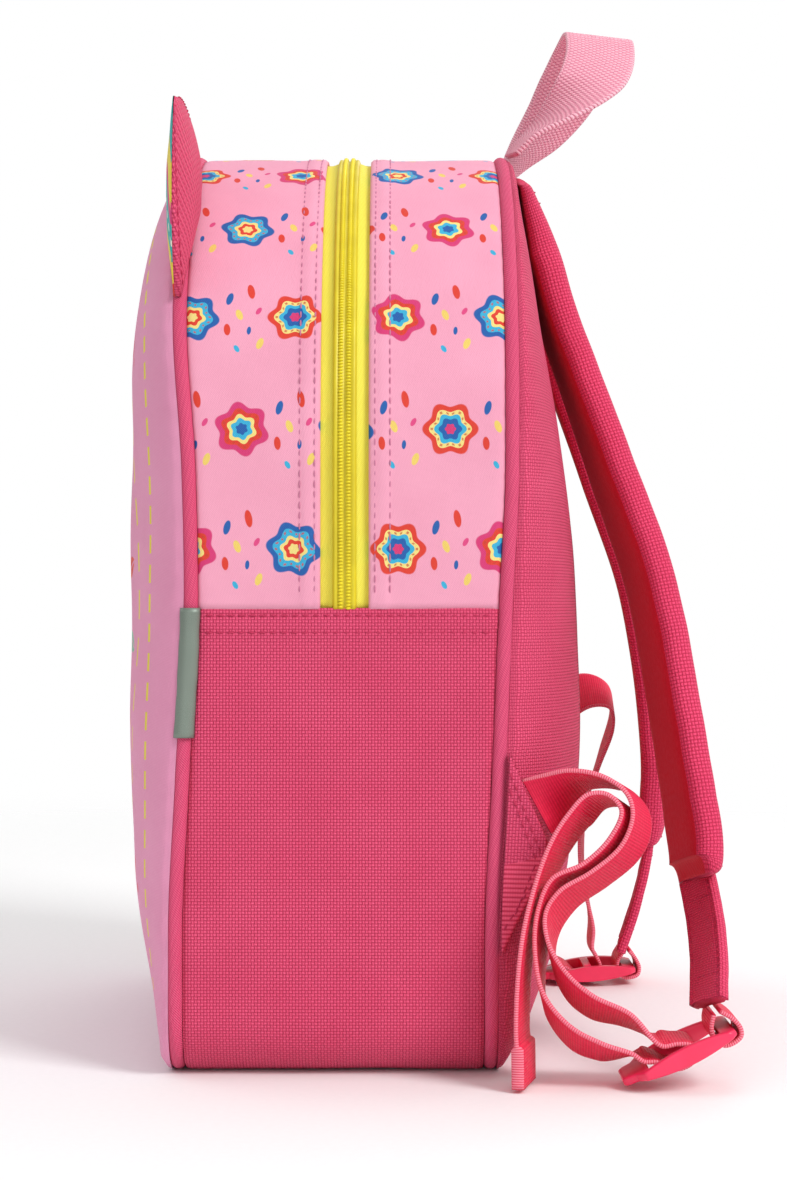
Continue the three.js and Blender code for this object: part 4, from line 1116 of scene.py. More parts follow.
# Ears: a puffed canvas back and a flatter banded front, sewn together round the edge
ear = {
    "centre": 46.0, "half": 18.5, "height": 43.0, "lean": 1.0, "turned": 1.2, "clear": 0.6,
    "puff": {"back": 5.4, "front": 3.4}, "edge": {"back": 1.9, "front": 0.4},
    "crease": 0.35, "creaseSize": 7, "sewing": 0.93, "sewingLift": 0.12,
}
earShape = {
    "up": (0.0, 0.12, 0.3, 0.5, 0.7, 0.87, 1.0),
    "width": (1.0, 0.97, 0.88, 0.72, 0.5, 0.28, 0.07),
    "puff": (0.6, 0.95, 1.0, 0.82, 0.52, 0.25, 0.03),
}


def earPoint(side, facing, up, share, bow):
    width = smoothLook(earShape["up"], earShape["width"], up)
    angle = np.radians(ear["centre"] + share * width * ear["half"] + up * ear["lean"])
    lift = body["width"] / 2 + cord["proud"] + ear["clear"] + up * ear["height"] * (1 - 0.05 * share**2)
    y = seamY("front", body["height"] * 0.9) - ear["turned"] + facing * bow
    x, z = side * lift * np.cos(angle), body["archCentre"] + lift * np.sin(angle)
    return np.stack([x, y + 0 * lift, z], -1)


def earCrown(face, up, share):
    # how far a half stands out from the seam between the two halves
    puffed = smoothLook(earShape["up"], earShape["puff"], up) * np.maximum(1 - share**2, 0) ** 1.1
    return 0.1 + ear["edge"][face] * (1 - up) ** 0.6 + ear["puff"][face] * puffed


def earHalf(name, side, face, node):
    facing = 1 if face == "back" else -1
    ups = np.linspace(0, 1, 30)[:, None]
    shares = np.linspace(-1, 1, 25)[None, :]
    creases = ear["crease"] * ripple(ups * ear["height"], shares * 30, ear["creaseSize"], 1.0 + side)
    crown = earCrown(face, ups, shares) + creases * (1 - shares**2) * (1 - ups)
    mid = earPoint(side, facing, ups, shares, 0.02 + 0 * crown)
    puffedRows = earPoint(side, facing, ups, shares, crown)
    rows = np.concatenate([puffedRows, mid[:, ::-1]], 1)
    across = shares * 20 * smoothLook(earShape["up"], earShape["width"], ups) + 30
    around = np.concatenate([across, across[:, ::-1] + 60, across[:, :1] + 61], 1)
    piece = skin(name, rows, (ups * ear["height"])[:, 0], around, ["pink" if face == "back" else "ear"])
    dress(piece, "pink_cloth" if face == "back" else "ear_print", node)


for name, side in (("Right", 1), ("Left", -1)):
    earHalf("earBack" + name, side, "back", "ear_back_" + name.lower())
    earHalf("earFront" + name, side, "front", "ear_front_" + name.lower())


def earEdge(side, share, count=24):
    ups = np.linspace(0.04, 0.93, count)
    lift = earCrown("back", ups, share) + ear["sewingLift"]
    return earPoint(side, 1, ups, np.full(count, share), lift), np.tile([0, 1, 0], (count, 1))


sewLine(
    "earSewing",
    [earEdge(side, share) for side in (-1, 1) for share in (-ear["sewing"], ear["sewing"])],
    "deepThread",
    "pink_cloth",
)
print("ears made")


# Webbing and pads are swept along routes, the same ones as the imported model's
def centripetal(points, shares):
    points = np.asarray(points, float)
    count = len(points)
    made = []
    for share in shares:
        at = share * (count - 1)
        k = min(int(at), count - 2)
        t = at - k
        p1, p2 = points[k], points[k + 1]
        p0 = points[k - 1] if k > 0 else 2 * p1 - p2
        p3 = points[k + 2] if k + 2 < count else 2 * p2 - p1
        d0, d1, d2 = (np.dot(b - a, b - a) ** 0.25 for a, b in ((p0, p1), (p1, p2), (p2, p3)))
        d1 = d1 if d1 > 1e-4 else 1.0
        d0 = d0 if d0 > 1e-4 else d1
        d2 = d2 if d2 > 1e-4 else d1
        t1 = ((p1 - p0) / d0 - (p2 - p0) / (d0 + d1) + (p2 - p1) / d1) * d1
        t2 = ((p2 - p1) / d1 - (p3 - p1) / (d1 + d2) + (p3 - p2) / d2) * d1
        square, cube = -3 * p1 + 3 * p2 - 2 * t1 - t2, 2 * p1 - 2 * p2 + t1 + t2
        made.append(p1 + t1 * t + square * t**2 + cube * t**3)
    return np.array(made)


def unit(vectors):
    return vectors / np.linalg.norm(vectors, axis=-1, keepdims=True)


def railOf(route, perRow):
    # places, ways across and ways out along a route of (place, across, thickness share)
    total = (len(route) - 1) * perRow
    shares = np.linspace(0, 1, total + 1)
    places = centripetal([row[0] for row in route], shares)
    acrosses = unit(centripetal([row[1] for row in route], shares))
    alongs = unit(np.gradient(places, axis=0))
    outs = unit(np.cross(acrosses, alongs))
    fats = np.interp(shares * (len(route) - 1), range(len(route)), [row[2] for row in route])
    return places, acrosses, outs, fats


def sweptPiece(
    name, rail, sizes, profile, looksUsed, columnLooks=None, start=-0.5, below=0.5, bend=None,
    webbed=False,
):
    # start and below place the rail in the profile; webbed lays both faces on one map
    width, thickness = sizes["width"], sizes["thickness"]
    places, acrosses, outs, fats = rail
    side, rise = np.array(profile).T
    across = width * (start + side)[None, :]
    up = thickness * fats[:, None] * (rise[None, :] - below)
    if bend is not None:
        across, up = bend(lengthAlong(places)[:, None], across, up)
    rows = places[:, None] + acrosses[:, None] * across[..., None] + outs[:, None] * up[..., None]
    flatProfile = np.stack([side * width, rise * thickness], 1)
    around = lengthAlong(np.concatenate([flatProfile, flatProfile[:1]]))
    if webbed:
        around = np.append(side, side[0]) * width
    return skin(name, rows, lengthAlong(places), around, looksUsed, columnLooks)


def bandProfile(columns, sizes, soft=0.45):
    # a flat band with round edges: (side, rise), first along the under face
    inset = soft * sizes["thickness"] / sizes["width"]
    under = [(inset + (1 - 2 * inset) * k / columns, 0.0) for k in range(columns + 1)]
    over = [(side, 1.0) for side, rise in under[::-1]]
    right = [(1 - inset * 0.25, 0.14), (1.0, 0.5), (1 - inset * 0.25, 0.86)]
    left = [(inset * 0.25, 0.86), (0.0, 0.5), (inset * 0.25, 0.14)]
    return under + right + over + left


# Grab handle
handle = {"width": 25.0, "thickness": 2.0, "height": 47.0, "reach": 32.0, "half": 24.0, "clear": 2.0}
handleTable = [
    # shares of half, reach and height, and the webbing's turn in degrees
    (0.62, 0.06, 0.0, 6), (0.8, 0.23, 0.11, 14), (0.95, 0.5, 0.23, 30), (1.0, 0.76, 0.38, 55),
    (0.92, 0.95, 0.55, 82), (0.65, 1.05, 0.74, 90), (0.3, 1.07, 0.92, 90), (-0.05, 1.05, 0.97, 90),
    (-0.4, 0.98, 0.9, 90), (-0.72, 0.84, 0.72, 96), (-0.92, 0.66, 0.5, 118), (-0.98, 0.43, 0.29, 138),
    (-0.85, 0.2, 0.12, 160), (-0.62, 0.06, 0.0, 174),
]
handleEnd = handleTable[0][0] * handle["half"]
handleBase = np.array([
    0,
    float(seamY("back", body["height"])) + cord["radius"],
    body["archCentre"] + math.sqrt((body["width"] / 2) ** 2 - handleEnd**2) + handle["clear"],
])
handleRoute = []
for x, back, up, turn in handleTable:
    angle = math.radians(turn)
    dip = -0.12 * math.sin(angle) - (0.13 * math.copysign(1, x) * math.cos(angle)) / (1 + 20 * up)
    place = handleBase + np.array([x * handle["half"], back * handle["reach"], up * handle["height"]])
    handleRoute.append((place, np.array([math.cos(angle), math.sin(angle), dip]), 1.0))
grabHandle = sweptPiece(
    "grabHandle", railOf(handleRoute, 12), handle, bandProfile(14, handle), ["handle"], webbed=True
)
dress(grabHandle, "handle_webbing", "grab_handle")
print("handle made")

# Shoulder straps
pad = {
    "width": 44.0, "thickness": 9.0, "plump": 1.22, "standOff": 68.0, "splay": 48.0, "topCentre": 27.0,
    "leftBow": 6.0, "twist": 0.6, "clear": 0.4, "dents": 0.5, "dentSize": 9, "roundEnd": 4.0,
    "sewing": (6.0, 10.5, -5.5), "sewingHalf": 0.36,
}
strapTable = [
    # height and reach as shares, sideways, thickness, turn, tip, and the left strap's sway
    (0.972, 0.115, 0.0, 0.35, 0.0, -0.24, 0.0), (0.94, 0.175, 0.02, 0.6, 0.0, -0.15, 0.0),
    (0.88, 0.27, 0.06, 1, 0.02, 0.0, 0.0), (0.815, 0.36, 0.12, 1, 0.05, 0.05, 0.1),
    (0.715, 0.51, 0.26, 1, 0.08, 0.1, 0.3), (0.64, 0.62, 0.38, 1, 0.1, 0.15, 0.5),
    (0.53, 0.785, 0.54, 1, 0.13, 0.2, 0.8), (0.45, 0.86, 0.66, 1, 0.16, 0.2, 0.95),
    (0.36, 0.92, 0.78, 1, 0.18, 0.2, 1.0), (0.27, 0.975, 0.9, 1, 0.2, 0.2, 0.75),
    (0.205, 1.0, 0.99, 1, 0.2, 0.2, 0.2), (0.185, 0.965, 1.02, 0.55, 0.2, 0.2, 0.0),
]
locks = {
    "Right": {"side": 1, "x": 124.0, "y": 86.0, "z": 2.4, "tilt": 26.0, "cuffWay": (0.28, 0.3)},
    "Left": {"side": -1, "x": -75.0, "y": 72.0, "z": 3.2, "tilt": 5.0, "cuffWay": (0.12, 0.1)},
}


def strapRoute(side):
    route = []
    for up, back, x, fat, turn, tip, sway in strapTable:
        z = up * body["height"]
        across = side * (pad["topCentre"] + x * pad["splay"])
        bow = pad["leftBow"] * sway if side < 0 else 0.0
        onPanel = float(panelY("back", across, z)) + pad["thickness"] * pad["plump"] * fat + pad["clear"]
        y = max(float(seamY("back", body["height"])) + back * pad["standOff"] + bow, onPanel)
        way = np.array([1, side * turn * pad["twist"], side * tip])
        route.append((np.array([across, y, z]), way, fat))
    return route


def padProfile(count=44):
    # crowned pad with tight edges: (side, rise), first round the under face
    made = []
    for k in range(count):
        angle = math.pi * (1 + 2 * k / count)
        c, s = math.cos(angle), math.sin(angle)
        side = 0.5 + 0.5 * math.copysign(abs(c) ** 0.36, c)
        rise = 0.5 + 0.5 * math.copysign(abs(s) ** 0.7, s)
        made.append((side, rise))
    return made


def acrossRow(rail, k, half, lift, count):
    # a row of sewing straight across a swept piece, lift out from its rail
    places, acrosses, outs, fats = rail
    spread = np.linspace(-half, half, count)[:, None]
    out = outs[k] * (-1 if lift < 0 else 1)
    return places[k] + acrosses[k] * spread + outs[k] * lift, np.tile(out, (count, 1))


def shoulderStrap(name, side, node):
    route = strapRoute(side)
    rail = railOf(route, 12)
    total = lengthAlong(rail[0])[-1]
    profile = padProfile()
    columnLooks = []
    for this, following in zip(profile, profile[1:] + profile[:1]):
        reach, rise = (np.array(this) + following) / 2
        columnLooks.append(1 if rise < 0.3 and 0.07 < reach < 0.93 else 0)

    def bend(along, across, up):
        # closes towards both ends, with soft dents along the edges
        fromEnd = np.minimum(along, total - along)
        close = np.sqrt(np.clip(1 - (1 - np.clip(fromEnd / pad["roundEnd"], 0, 1)) ** 2, 0.06, 1))
        middle = -pad["thickness"] * 0.5
        edge = np.abs(across / (pad["width"] / 2)) ** 4
        waves = ripple(along, across * 0 + side * pad["dentSize"], pad["dentSize"], 2.0 + side)
        dents = pad["dents"] * waves * edge
        newAcross = across * (0.9 + 0.1 * close) + dents * np.sign(across) * 0.6
        return newAcross, middle + (up - middle) * close + dents * 0.5

    sizes = {"width": pad["width"], "thickness": pad["thickness"] * pad["plump"]}
    piece = sweptPiece(
        name, rail, sizes, profile, ["strap", "lining"], columnLooks, below=1.0, bend=bend
    )
    dress(piece, "strap_cloth", node)
    places, acrosses, outs, fats = rail
    run = lengthAlong(places)
    rowsOfSewing = []
    for at in pad["sewing"]:
        k = int(np.searchsorted(run, at if at > 0 else total + at))
        rowsOfSewing.append(acrossRow(rail, k, pad["sewingHalf"] * pad["width"], 0, 16))
    sewLine(name + "Sewing", rowsOfSewing, "deepThread", "strap_cloth")
    return route


def lockFrame(settings):
    angle = math.radians(settings["tilt"])
    along = np.array([0, math.cos(angle), math.sin(angle)])
    up = np.array([0, -math.sin(angle), math.cos(angle)])
    origin = np.array([settings["x"], settings["y"], settings["z"]])
    return lambda u, v: origin + along * u + up * v


lock = {
    "length": 38.0, "width": 28.0, "thickness": 2.6, "rail": 3.0, "tongue": 9.0, "slot": 9.0,
    "midBar": 3.0, "slotTwo": 12.0, "soft": 0.75, "railDeep": 1.75, "barInset": 0.4, "barRaised": 0.5,
}
slotOne = lock["tongue"] + lock["slot"]
slotTwo = slotOne + lock["midBar"]
slotEnd = slotTwo + lock["slotTwo"]
barMiddle = (slotEnd + lock["length"]) / 2
barLoop = [
    (-1.3, 7.2), (-3.8, 3.6), (-4.2, 0.0), (-2.6, -2.7), (0.2, -3.3), (3.4, -2.4), (4.3, 0.2),
    (3.2, 3.8), (0.9, 7.2),
]
webbing = {"width": 20.0, "thickness": 1.4}
ribbon = bandProfile(10, webbing)
cuff = {
    "width": 26.0, "thickness": 3.6, "overPad": 5.0, "overLoop": 3.0, "loopHeight": 11.1, "bow": 1.5,
    "pinch": 0.32, "crease": 0.35,
}

for name, settings in locks.items():
    side = settings["side"]
    at = lockFrame(settings)
    route = shoulderStrap("shoulderStrap" + name, side, "shoulder_strap_" + name.lower())
    loopRoute = [(at(barMiddle + u, v), np.array([1.0, 0, 0]), 1.0) for u, v in barLoop]
    loopPiece = sweptPiece(
        "buckleWebbing" + name, railOf(loopRoute, 6), webbing, ribbon, ["webbing"], webbed=True
    )
    dress(loopPiece, "strap_webbing", "buckle_webbing_" + name.lower())
    end = route[-1][0]
    padEnd = end + np.array([0, -pad["thickness"] * 0.27, -1.6])
    lockEnd = at(barMiddle, cuff["loopHeight"])
    down = unit(lockEnd - padEnd)
    cuffTop, cuffFoot = padEnd - down * cuff["overPad"], lockEnd + down * cuff["overLoop"]
    turn, tip = settings["cuffWay"]
    cuffRoute = []
    for share in (0, 0.33, 0.67, 1):
        place = cuffTop + (cuffFoot - cuffTop) * share
        place = place + np.array([0, math.sin(math.pi * share) * cuff["bow"], 0])
        cuffRoute.append((place, np.array([1, side * turn, side * tip]), 1.0))
    cuffRail = railOf(cuffRoute, 14)

    def cuffBend(along, across, up):
        # two layers pinched together along the sewing
        edge = np.abs(across) / (cuff["width"] / 2)
        pinch = 1 - cuff["pinch"] * np.exp(-(((edge - 0.8) / 0.07) ** 2))
        crease = cuff["crease"] * ripple(along, across, 6, 1.0 + side)
        return across, up * pinch + crease * (1 - edge**4)

    cuffPiece = sweptPiece(
        "strapCuff" + name, cuffRail, cuff, bandProfile(22, cuff, 0.3), ["strap"], bend=cuffBend
    )
    dress(cuffPiece, "strap_cloth", "strap_sleeve_" + name.lower())
    places, acrosses, outs, fats = cuffRail
    lines = []
    for face in (-1, 1):
        lift = face * cuff["thickness"] * 0.36
        for share in (-0.4, 0.4):
            lines.append((places + acrosses * cuff["width"] * share + outs * lift, outs * face))
        for k in (8, len(places) - 9):
            lines.append(acrossRow(cuffRail, k, 0.38 * cuff["width"], face * cuff["thickness"] * 0.5, 12))
    sewLine("cuffSewing" + name, lines, "deepThread", "strap_cloth")
print("straps made")

# Tabs in the back seam that hold the adjusting webbing
tab = {
    "top": 103.0, "bottom": 39.5, "reach": 13.3, "thickness": 2.4, "slant": 2.0, "clear": 0.3,
    "noseLow": 0.45, "noseHigh": 0.43, "rowsIn": 30,
    # each row of sewing: from and to in height, from and to as shares of the reach
    "sewing": (
        (97.5, 71.5, 0.02, 0.86), (92.5, 69.5, 0.02, 0.75), (47.0, 66.0, 0.02, 0.86),
        (52.0, 69.0, 0.3, 0.75),
    ),
}


def tabPoint(side, z, share, out):
    y = seamY("back", z) + cord["radius"] + tab["clear"] + share * tab["reach"]
    x = body["width"] / 2 + tab["clear"] + share * tab["slant"] + out
    return np.stack([side * x + 0 * z, y, z + 0 * share], -1)


def bottomTab(name, side, node):
    tall = tab["top"] - tab["bottom"]
    count = tab["rowsIn"]
    shares = np.linspace(0, 1, 16)
    rows, around = [], []
    for share in shares:
        low = tab["bottom"] + tall * tab["noseLow"] * share
        high = tab["top"] - tall * tab["noseHigh"] * share
        z = np.linspace(low, high, count)
        edge = np.minimum(np.arange(count), np.arange(count)[::-1]) / (count - 1)
        thinner = 0.5 * np.exp(-edge / 0.02) + 0.4 * np.exp(-(1 - share) / 0.04)
        outer = tabPoint(side, z, share, tab["thickness"] - thinner)
        inner = tabPoint(side, z[::-1], share, 0.1)
        rows.append(np.concatenate([outer, inner]))
        around.append(np.concatenate([z, z[::-1] + 200, [300]]))
    # the upper part shows the ribs of the webbing's folded end, and so do the two narrow edges
    columnLooks = [0 if 12 < k < count - 1 or k > count else 1 for k in range(2 * count)]
    piece = skin(name, rows, shares * tab["reach"], around, ["pink", "tabTurned"], columnLooks)
    dress(piece, "pink_cloth", node)
    lines = []
    for fromZ, toZ, fromShare, toShare in tab["sewing"]:
        z, share = np.linspace((fromZ, fromShare), (toZ, toShare), 14).T
        points = tabPoint(side, z, share, tab["thickness"] + 0.05)
        lines.append((points, np.tile([side, 0, 0], (14, 1))))
    sewLine(name + "Sewing", lines, "deepThread", "pink_cloth")


def turnedRibs():
    # the tab's ribs run along its depth, so its map is turned a quarter
    look, tree, shader, place = startMaterial("tabRibsTurned", 0.6, 0.25, 0.03)
    u, v = split(tree, place)
    rib = ((v / 1.45).use("FRACT") * math.pi).use("SINE")
    thread = ((u / 0.8).use("FRACT") * math.pi).use("SINE")
    height = rib * (thread * 0.25 + 0.75)
    age = useGroup(tree, handling, Vector=place)
    # painted shade and highlight: the hollows between the ribs take the dark red and their crowns the
    # light pink
    colour = blendColour(tree, height, linear("B81A42"), linear("F25C80"))
    colour = blendColour(tree, age["Wide"] * 0.12, colour, linear("C4204A"))
    plug(tree, colour, shader.inputs["Base Color"])
    emboss(tree, shader, height, 0.0003)
    return look


looks["tabTurned"] = turnedRibs()
bottomTab("bottomTabRight", 1, "bottom_tab_right")
bottomTab("bottomTabLeft", -1, "bottom_tab_left")
print("tabs made")

# Adjusting webbing: x, y, z of the near edge, the way to the far edge and, where it isn't 1, the
# share of the thickness. The wraps round the locks are (along, up) in the lock's own frame
rightStart = [
    (117.2, 55.6, 95.2, 0.05, 0.47, -0.88), (121.5, 61.6, 97, -0.5, 0.42, -0.72),
    (126, 69.8, 98.7, -0.84, 0.38, -0.36), (128, 79.4, 97.1, -0.88, 0.38, -0.28),
    (129, 86.9, 91.9, -0.88, 0.38, -0.28), (129, 88.9, 85.2, -0.88, 0.38, -0.28),
    (129, 85.4, 75.6, -0.88, 0.38, -0.28), (129, 76, 67.4, -0.88, 0.36, -0.3),
    (129.5, 66.2, 61.6, -0.86, 0.32, -0.38), (130, 61.9, 54.8, -0.84, 0.25, -0.46),
    (132, 62.7, 46, -0.83, 0.15, -0.52), (133, 68.3, 36.8, -0.83, 0.08, -0.55),
    (134, 76.2, 30.1, -0.86, 0.04, -0.5), (134, 88, 24.2, -0.93, 0.0, -0.35),
]
rightWrap = [
    (15.5, 5.6), (20.3, 3.9), (24.2, 1.4), (24.4, -1.4), (21.6, -3.2), (17.6, -3.2), (14.4, -1.2),
    (12.2, 1.6), (8.6, 3.6),
]
rightReturn = [
    (134, 88.6, 11.9, -0.95, 0.02, -0.2), (134, 79.3, 15.2, -0.88, 0.06, -0.42),
    (133, 69.3, 20.5, -0.85, 0.08, -0.5), (132, 61.1, 30.4, -0.84, 0.12, -0.48),
    (131, 58.5, 43.7, -0.84, 0.2, -0.46), (130, 59.5, 55.9, -0.86, 0.28, -0.4),
    (129.5, 63.9, 65.4, -0.88, 0.34, -0.32), (129, 73.6, 70.0, -0.88, 0.38, -0.28),
    (129, 81.6, 77.6, -0.88, 0.38, -0.28), (129, 85.4, 86.4, -0.88, 0.38, -0.28),
    (129, 81.2, 91.4, -0.88, 0.38, -0.28), (129, 75, 91.4, -0.88, 0.38, -0.28),
    (129, 68.9, 85.2, -0.88, 0.38, -0.28), (129.5, 63.2, 75.9, -0.9, 0.36, -0.22),
    (131, 57.6, 60.2, -0.93, 0.3, -0.12), (133, 54.6, 47.6, -0.95, 0.26, -0.04),
    (135, 52.9, 33.2, -0.96, 0.25, 0), (136, 52.4, 18.4, -0.97, 0.25, 0),
    (136, 52.6, 14.6, -0.97, 0.25, 0), (136, 52.8, 13.4, -0.97, 0.25, 0, 2.8),
    (136, 53.0, 1.2, -0.97, 0.25, 0, 2.8),
]
leftStart = [
    (-117.2, 55.6, 95.2, -0.05, 0.47, -0.88), (-118, 68, 103, 0.25, 0.3, -0.92),
    (-117, 81, 116, 0.5, 0.18, -0.85), (-113, 94, 121, 0.74, 0.05, -0.67),
    (-109, 102.5, 117, 0.88, 0.0, -0.47), (-107, 104.5, 107, 0.93, -0.05, -0.36),
    (-106, 100, 90, 0.95, -0.12, -0.3), (-104, 94, 68, 0.96, -0.18, -0.2),
    (-98, 92, 46, 0.98, -0.12, -0.15), (-90, 94, 24, 0.995, 0.0, -0.1),
]
leftWrap = [
    (22.2, 8.5), (24.4, 3.4), (24.6, -0.4), (21.6, -2.6), (17.6, -2.6), (14.4, -0.8), (11.6, 2.4),
    (7.6, 4.6),
]
leftReturn = [
    (-84.6, 74.5, 7.2, 0.95, 0, 0.3), (-85, 69.5, 5.2, 0.75, 0.03, 0.66),
    (-88, 65.6, 3.2, 0.42, 0.05, 0.9),
    (-95, 63.4, 1.9, 0.14, 0.02, 0.99), (-104, 62, 1.3, 0.0, 0.0, 1), (-124, 62, 1.2, 0.0, 0.0, 1),
    (-125.5, 62.2, 1.2, 0.0, 0.0, 1, 2.8), (-138, 64, 1.2, 0.0, 0.0, 1, 2.8),
]


def ribbonRows(table):
    return [(np.array(row[:3]), np.array(row[3:6]), (*row, 1.0)[6]) for row in table]


def wrapRows(rows, settings):
    at = lockFrame(settings)
    shift = np.array([settings["side"] * webbing["width"] / 2, 0, 0])
    return [(at(u, v) + shift, np.array([-settings["side"], 0.0, 0.0]), 1.0) for u, v in rows]


adjusters = {
    "Right": ribbonRows(rightStart) + wrapRows(rightWrap, locks["Right"]) + ribbonRows(rightReturn),
    "Left": ribbonRows(leftStart) + wrapRows(leftWrap, locks["Left"]) + ribbonRows(leftReturn),
}
for name, route in adjusters.items():
    piece = sweptPiece(
        "adjustWebbing" + name, railOf(route, 8), webbing, ribbon, ["webbing"], start=0.0, webbed=True
    )
    dress(piece, "strap_webbing", "adjust_webbing_" + name.lower())
print("webbing made")


# Ladder locks and the zip slider are hard pieces, shaped as by hand
def pick(mesh, chosen):
    # selects faces by a test on their centre, from object mode
    bpy.ops.object.mode_set(mode="OBJECT")
    for face in mesh.polygons:
        face.select = chosen(face.center)
    for edge in mesh.edges:
        edge.select = False
    for vertex in mesh.vertices:
        vertex.select = False
    for face in mesh.polygons:
        if face.select:
            for k in face.vertices:
                mesh.vertices[k].select = True
    bpy.ops.object.mode_set(mode="EDIT")
    bpy.ops.mesh.select_mode(type="FACE")


def cutAcross(place, way):
    bpy.ops.mesh.select_all(action="SELECT")
    bpy.ops.mesh.bisect(plane_co=place, plane_no=way)


def ladderLock(name, settings, node):
    mm = 0.001
    bpy.ops.mesh.primitive_plane_add(size=1, location=(0, 0, 0))
    piece = bpy.context.object
    piece.name = name
    bpy.ops.object.mode_set(mode="EDIT")
    bpy.ops.transform.resize(value=(lock["length"] * mm, lock["width"] * mm, 1))
    bpy.ops.transform.translate(value=(lock["length"] * mm / 2, 0, 0))
    bpy.ops.object.mode_set(mode="OBJECT")
    half = lock["width"] / 2
    bpy.ops.object.mode_set(mode="EDIT")
    cuts = (1.5, 4.5, 7, 9, 11, 13.5, 16, slotOne, slotTwo, 23.5, 26, 28.5, 31, slotEnd, 34.5, 36)
    for u in cuts:
        cutAcross((u * mm, 0, 0), (1, 0, 0))
    for v in (-half + lock["rail"], half - lock["rail"]):
        cutAcross((0, v * mm, 0), (0, 1, 0))
    mesh = piece.data

    def inSlot(c):
        u, v = c.x / mm, abs(c.y / mm)
        return v < half - lock["rail"] and (lock["tongue"] < u < slotOne or slotTwo < u < slotEnd)

    pick(mesh, inSlot)
    bpy.ops.mesh.delete(type="FACE")
    bpy.ops.object.mode_set(mode="OBJECT")
    for vertex in mesh.vertices:
        u, v = vertex.co.x / mm, vertex.co.y / mm
        if abs(v) > half - 0.1:
            places = (0, 1.5, 4.5, lock["tongue"] - 2, lock["length"] - 2, lock["length"])
            reach = np.interp(u, places, (0.5, 0.62, 0.68, 1, 1, 0.88))
            vertex.co.y = v * reach * mm
        elif abs(v) > half - lock["rail"] - 0.1 and u < 5:
            vertex.co.y = v * np.interp(u, (0, 1.5, 4.5), (0.4, 0.55, 0.66)) * mm
    bpy.ops.object.mode_set(mode="EDIT")
    bpy.ops.mesh.select_all(action="SELECT")
    bpy.ops.mesh.extrude_region_move(TRANSFORM_OT_translate={"value": (0, 0, lock["thickness"] * mm)})
    bpy.ops.mesh.select_all(action="SELECT")
    bpy.ops.mesh.normals_make_consistent(inside=False)
    bpy.ops.object.mode_set(mode="OBJECT")
    # the side rails are deep in the middle and run out to thin ends
    for vertex in mesh.vertices:
        u, v = vertex.co.x / mm, abs(vertex.co.y / mm)
        if v > half - lock["rail"] - 0.1 and u > lock["tongue"] - 2.5:
            deep = 0.5 + lock["railDeep"] * math.sin(math.pi * (u - 4) / (lock["length"] - 3)) ** 0.9
            middle = lock["thickness"] * mm / 2
            vertex.co.z = (vertex.co.z - middle) * deep + middle

    def onBar(c):
        high = c.z > lock["thickness"] * mm * 0.9
        return high and slotOne < c.x / mm < slotTwo and abs(c.y / mm) < half - 2

    # a raised middle bar
    pick(mesh, onBar)
    bpy.ops.mesh.inset(thickness=lock["barInset"] * mm, depth=lock["barRaised"] * mm)
    bpy.ops.object.mode_set(mode="OBJECT")
    bevel = piece.modifiers.new("softEdges", "BEVEL")
    bevel.width = lock["soft"] * mm
    bevel.segments = 3
    bevel.limit_method = "ANGLE"
    bevel.angle_limit = math.radians(40)
    bpy.ops.object.modifier_apply(modifier="softEdges")
    at = lockFrame(settings)
    along, up = at(1, 0) - at(0, 0), at(0, 1) - at(0, 0)
    across = np.cross(up, along)
    corner = at(0, -lock["thickness"] / 2) * mm
    turn = Matrix((
        (along[0], across[0], up[0], corner[0]),
        (along[1], across[1], up[1], corner[1]),
        (along[2], across[2], up[2], corner[2]),
        (0, 0, 0, 1),
    ))
    mesh.transform(turn)
    bpy.ops.object.shade_smooth_by_angle(angle=math.radians(35))
    mesh.materials.append(looks["lock"])
    piece.select_set(False)
    dress(piece, "lock_plastic", node)


for name, settings in locks.items():
    ladderLock("ladderLock" + name, settings, "ladder_lock_" + name.lower())

# The slider's shape tables hold shares of the length down from its top, and of the width there
slider = {
    "width": 11.0, "height": 3.0, "length": 44.0, "base": 1.9, "bodyShare": 0.31, "pullShare": 0.6,
    "pullThick": 1.4, "pullWide": 0.72, "pullOut": 1.2, "pullUp": 0.5,
    "bodyShape": [(0, 0.3, 0.75, 1), (0.78, 1.0, 0.85, 0.66)],
    "pullShape": [(0.38, 0.55, 0.92, 1), (0.5, 0.95, 1.0, 0.7)],
}


def block(name, size, place):
    bpy.ops.mesh.primitive_cube_add(size=1, location=(0, 0, 0))
    piece = bpy.context.object
    piece.name = name
    bpy.ops.object.mode_set(mode="EDIT")
    bpy.ops.transform.resize(value=tuple(v / 1000 for v in size))
    bpy.ops.transform.translate(value=tuple(v / 1000 for v in place))
    return piece


def softened(piece, width, look, slot, *nodes):
    bpy.ops.object.mode_set(mode="OBJECT")
    bevel = piece.modifiers.new("softEdges", "BEVEL")
    bevel.width = width / 1000
    bevel.segments = 3
    bevel.limit_method = "ANGLE"
    bpy.ops.object.modifier_apply(modifier="softEdges")
    bpy.ops.object.shade_smooth_by_angle(angle=math.radians(35))
    piece.data.materials.append(looks[look])
    piece.select_set(False)
    return dress(piece, slot, *nodes)


sliderTop = zipSizes["end"] + slider["length"] / 2
sliderX = -(body["width"] / 2 + slider["base"])


def tapered(piece, length, downs, widths):
    # cuts a block across and narrows it in steps on the way down
    for down in downs[1:-1]:
        cutAcross((0, 0, (sliderTop - length * down) / 1000), (0, 0, 1))
    bpy.ops.object.mode_set(mode="OBJECT")
    for vertex in piece.data.vertices:
        wide = np.interp((sliderTop - vertex.co.z * 1000) / length, downs, widths)
        aside = vertex.co.y * 1000 - zipSizes["centre"]
        vertex.co.y = (zipSizes["centre"] + aside * wide) / 1000


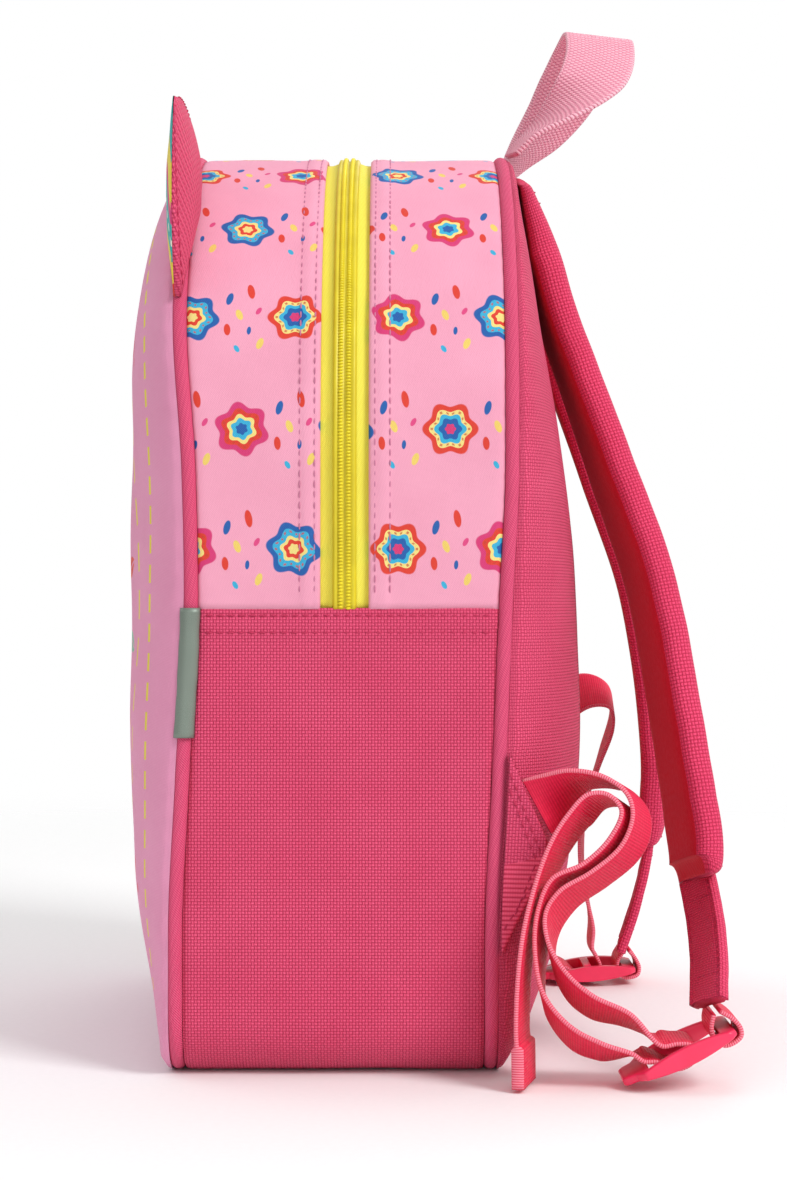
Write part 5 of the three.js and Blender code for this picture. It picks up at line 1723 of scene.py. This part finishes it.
bodyLong = slider["length"] * slider["bodyShare"]
car = block(
    "sliderBody", (slider["height"] * 0.8, slider["width"], bodyLong),
    (sliderX - slider["height"] * 0.4, zipSizes["centre"], sliderTop - bodyLong / 2),
)
tapered(car, bodyLong, *slider["bodyShape"])
softened(car, 0.8, "slider", "zip_slider", "zip_slider")
pullLong = slider["length"] * slider["pullShare"]
pullMiddle = sliderTop - slider["length"] + pullLong / 2 + slider["pullUp"]
pull = block(
    "sliderPull", (slider["pullThick"], slider["width"] * slider["pullWide"], pullLong),
    (sliderX - slider["pullOut"], zipSizes["centre"], pullMiddle),
)
tapered(pull, slider["length"], *slider["pullShape"])
softened(pull, 0.5, "slider", "zip_slider")
print("hard pieces made")

# Pale studio: a round floor that fades out into a white surround, and soft lights
studio = {"radius": 1.1, "solid": 0.42}
bpy.ops.mesh.primitive_circle_add(vertices=96, radius=studio["radius"], fill_type="NGON")
floor = bpy.context.object
floor.name = "studioFloor"
floor.select_set(False)
paper = bpy.data.materials.new("studioPaper")
paper.use_nodes = True
tree = paper.node_tree
paperShader = tree.nodes["Principled BSDF"]
paperShader.inputs["Roughness"].default_value = 0.9
paperShader.inputs["Specular IOR Level"].default_value = 0.1
place = Wire(tree, tree.nodes.new("ShaderNodeTexCoord").outputs["Object"])
across, deep = split(tree, place)
reach = (across * across + deep * deep).use("SQRT")
fibres = noiseOf(tree, place, 400.0, 2.0)
plug(tree, blendColour(tree, fibres, linear("F4F4F4"), linear("F9F9F9")), paperShader.inputs["Base Color"])
plug(tree, ramp(reach, studio["solid"], studio["radius"] * 0.96, 1.0, 0.0), paperShader.inputs["Alpha"])
floor.data.materials.append(paper)

sky = bpy.data.worlds.new("studioSky")
bpy.context.scene.world = sky
sky.use_nodes = True
tree = sky.node_tree
glow = tree.nodes["Background"]
glow.inputs[0].default_value = (1, 1, 1, 1)
seen = Wire(tree, tree.nodes.new("ShaderNodeLightPath").outputs["Is Camera Ray"])
plug(tree, seen * 0.5 + 0.5, glow.inputs[1])

lamps = [
    # name, place, aim, size, watts
    ("keyLamp", (1.3, 1.4, 1.5), (0, 0, 0.15), 0.8, 34),
    ("fillLamp", (1.7, -0.5, 0.7), (0, 0, 0.15), 1.4, 5),
    ("topLamp", (-0.2, 0.1, 2.2), (0, 0, 0.1), 1.6, 9),
    ("backLamp", (-1.6, 0.8, 1.2), (0, 0, 0.2), 1.2, 7),
    ("frontLamp", (-0.8, -1.6, 1.1), (0, 0, 0.15), 1.2, 5),
]
for name, place, aim, size, watts in lamps:
    bpy.ops.object.light_add(type="AREA", location=place)
    lamp = bpy.context.object
    lamp.name = name
    lamp.data.energy = watts
    lamp.data.size = size
    way = Vector(aim) - Vector(place)
    lamp.rotation_euler = way.to_track_quat("-Z", "Y").to_euler()
print("studio made")
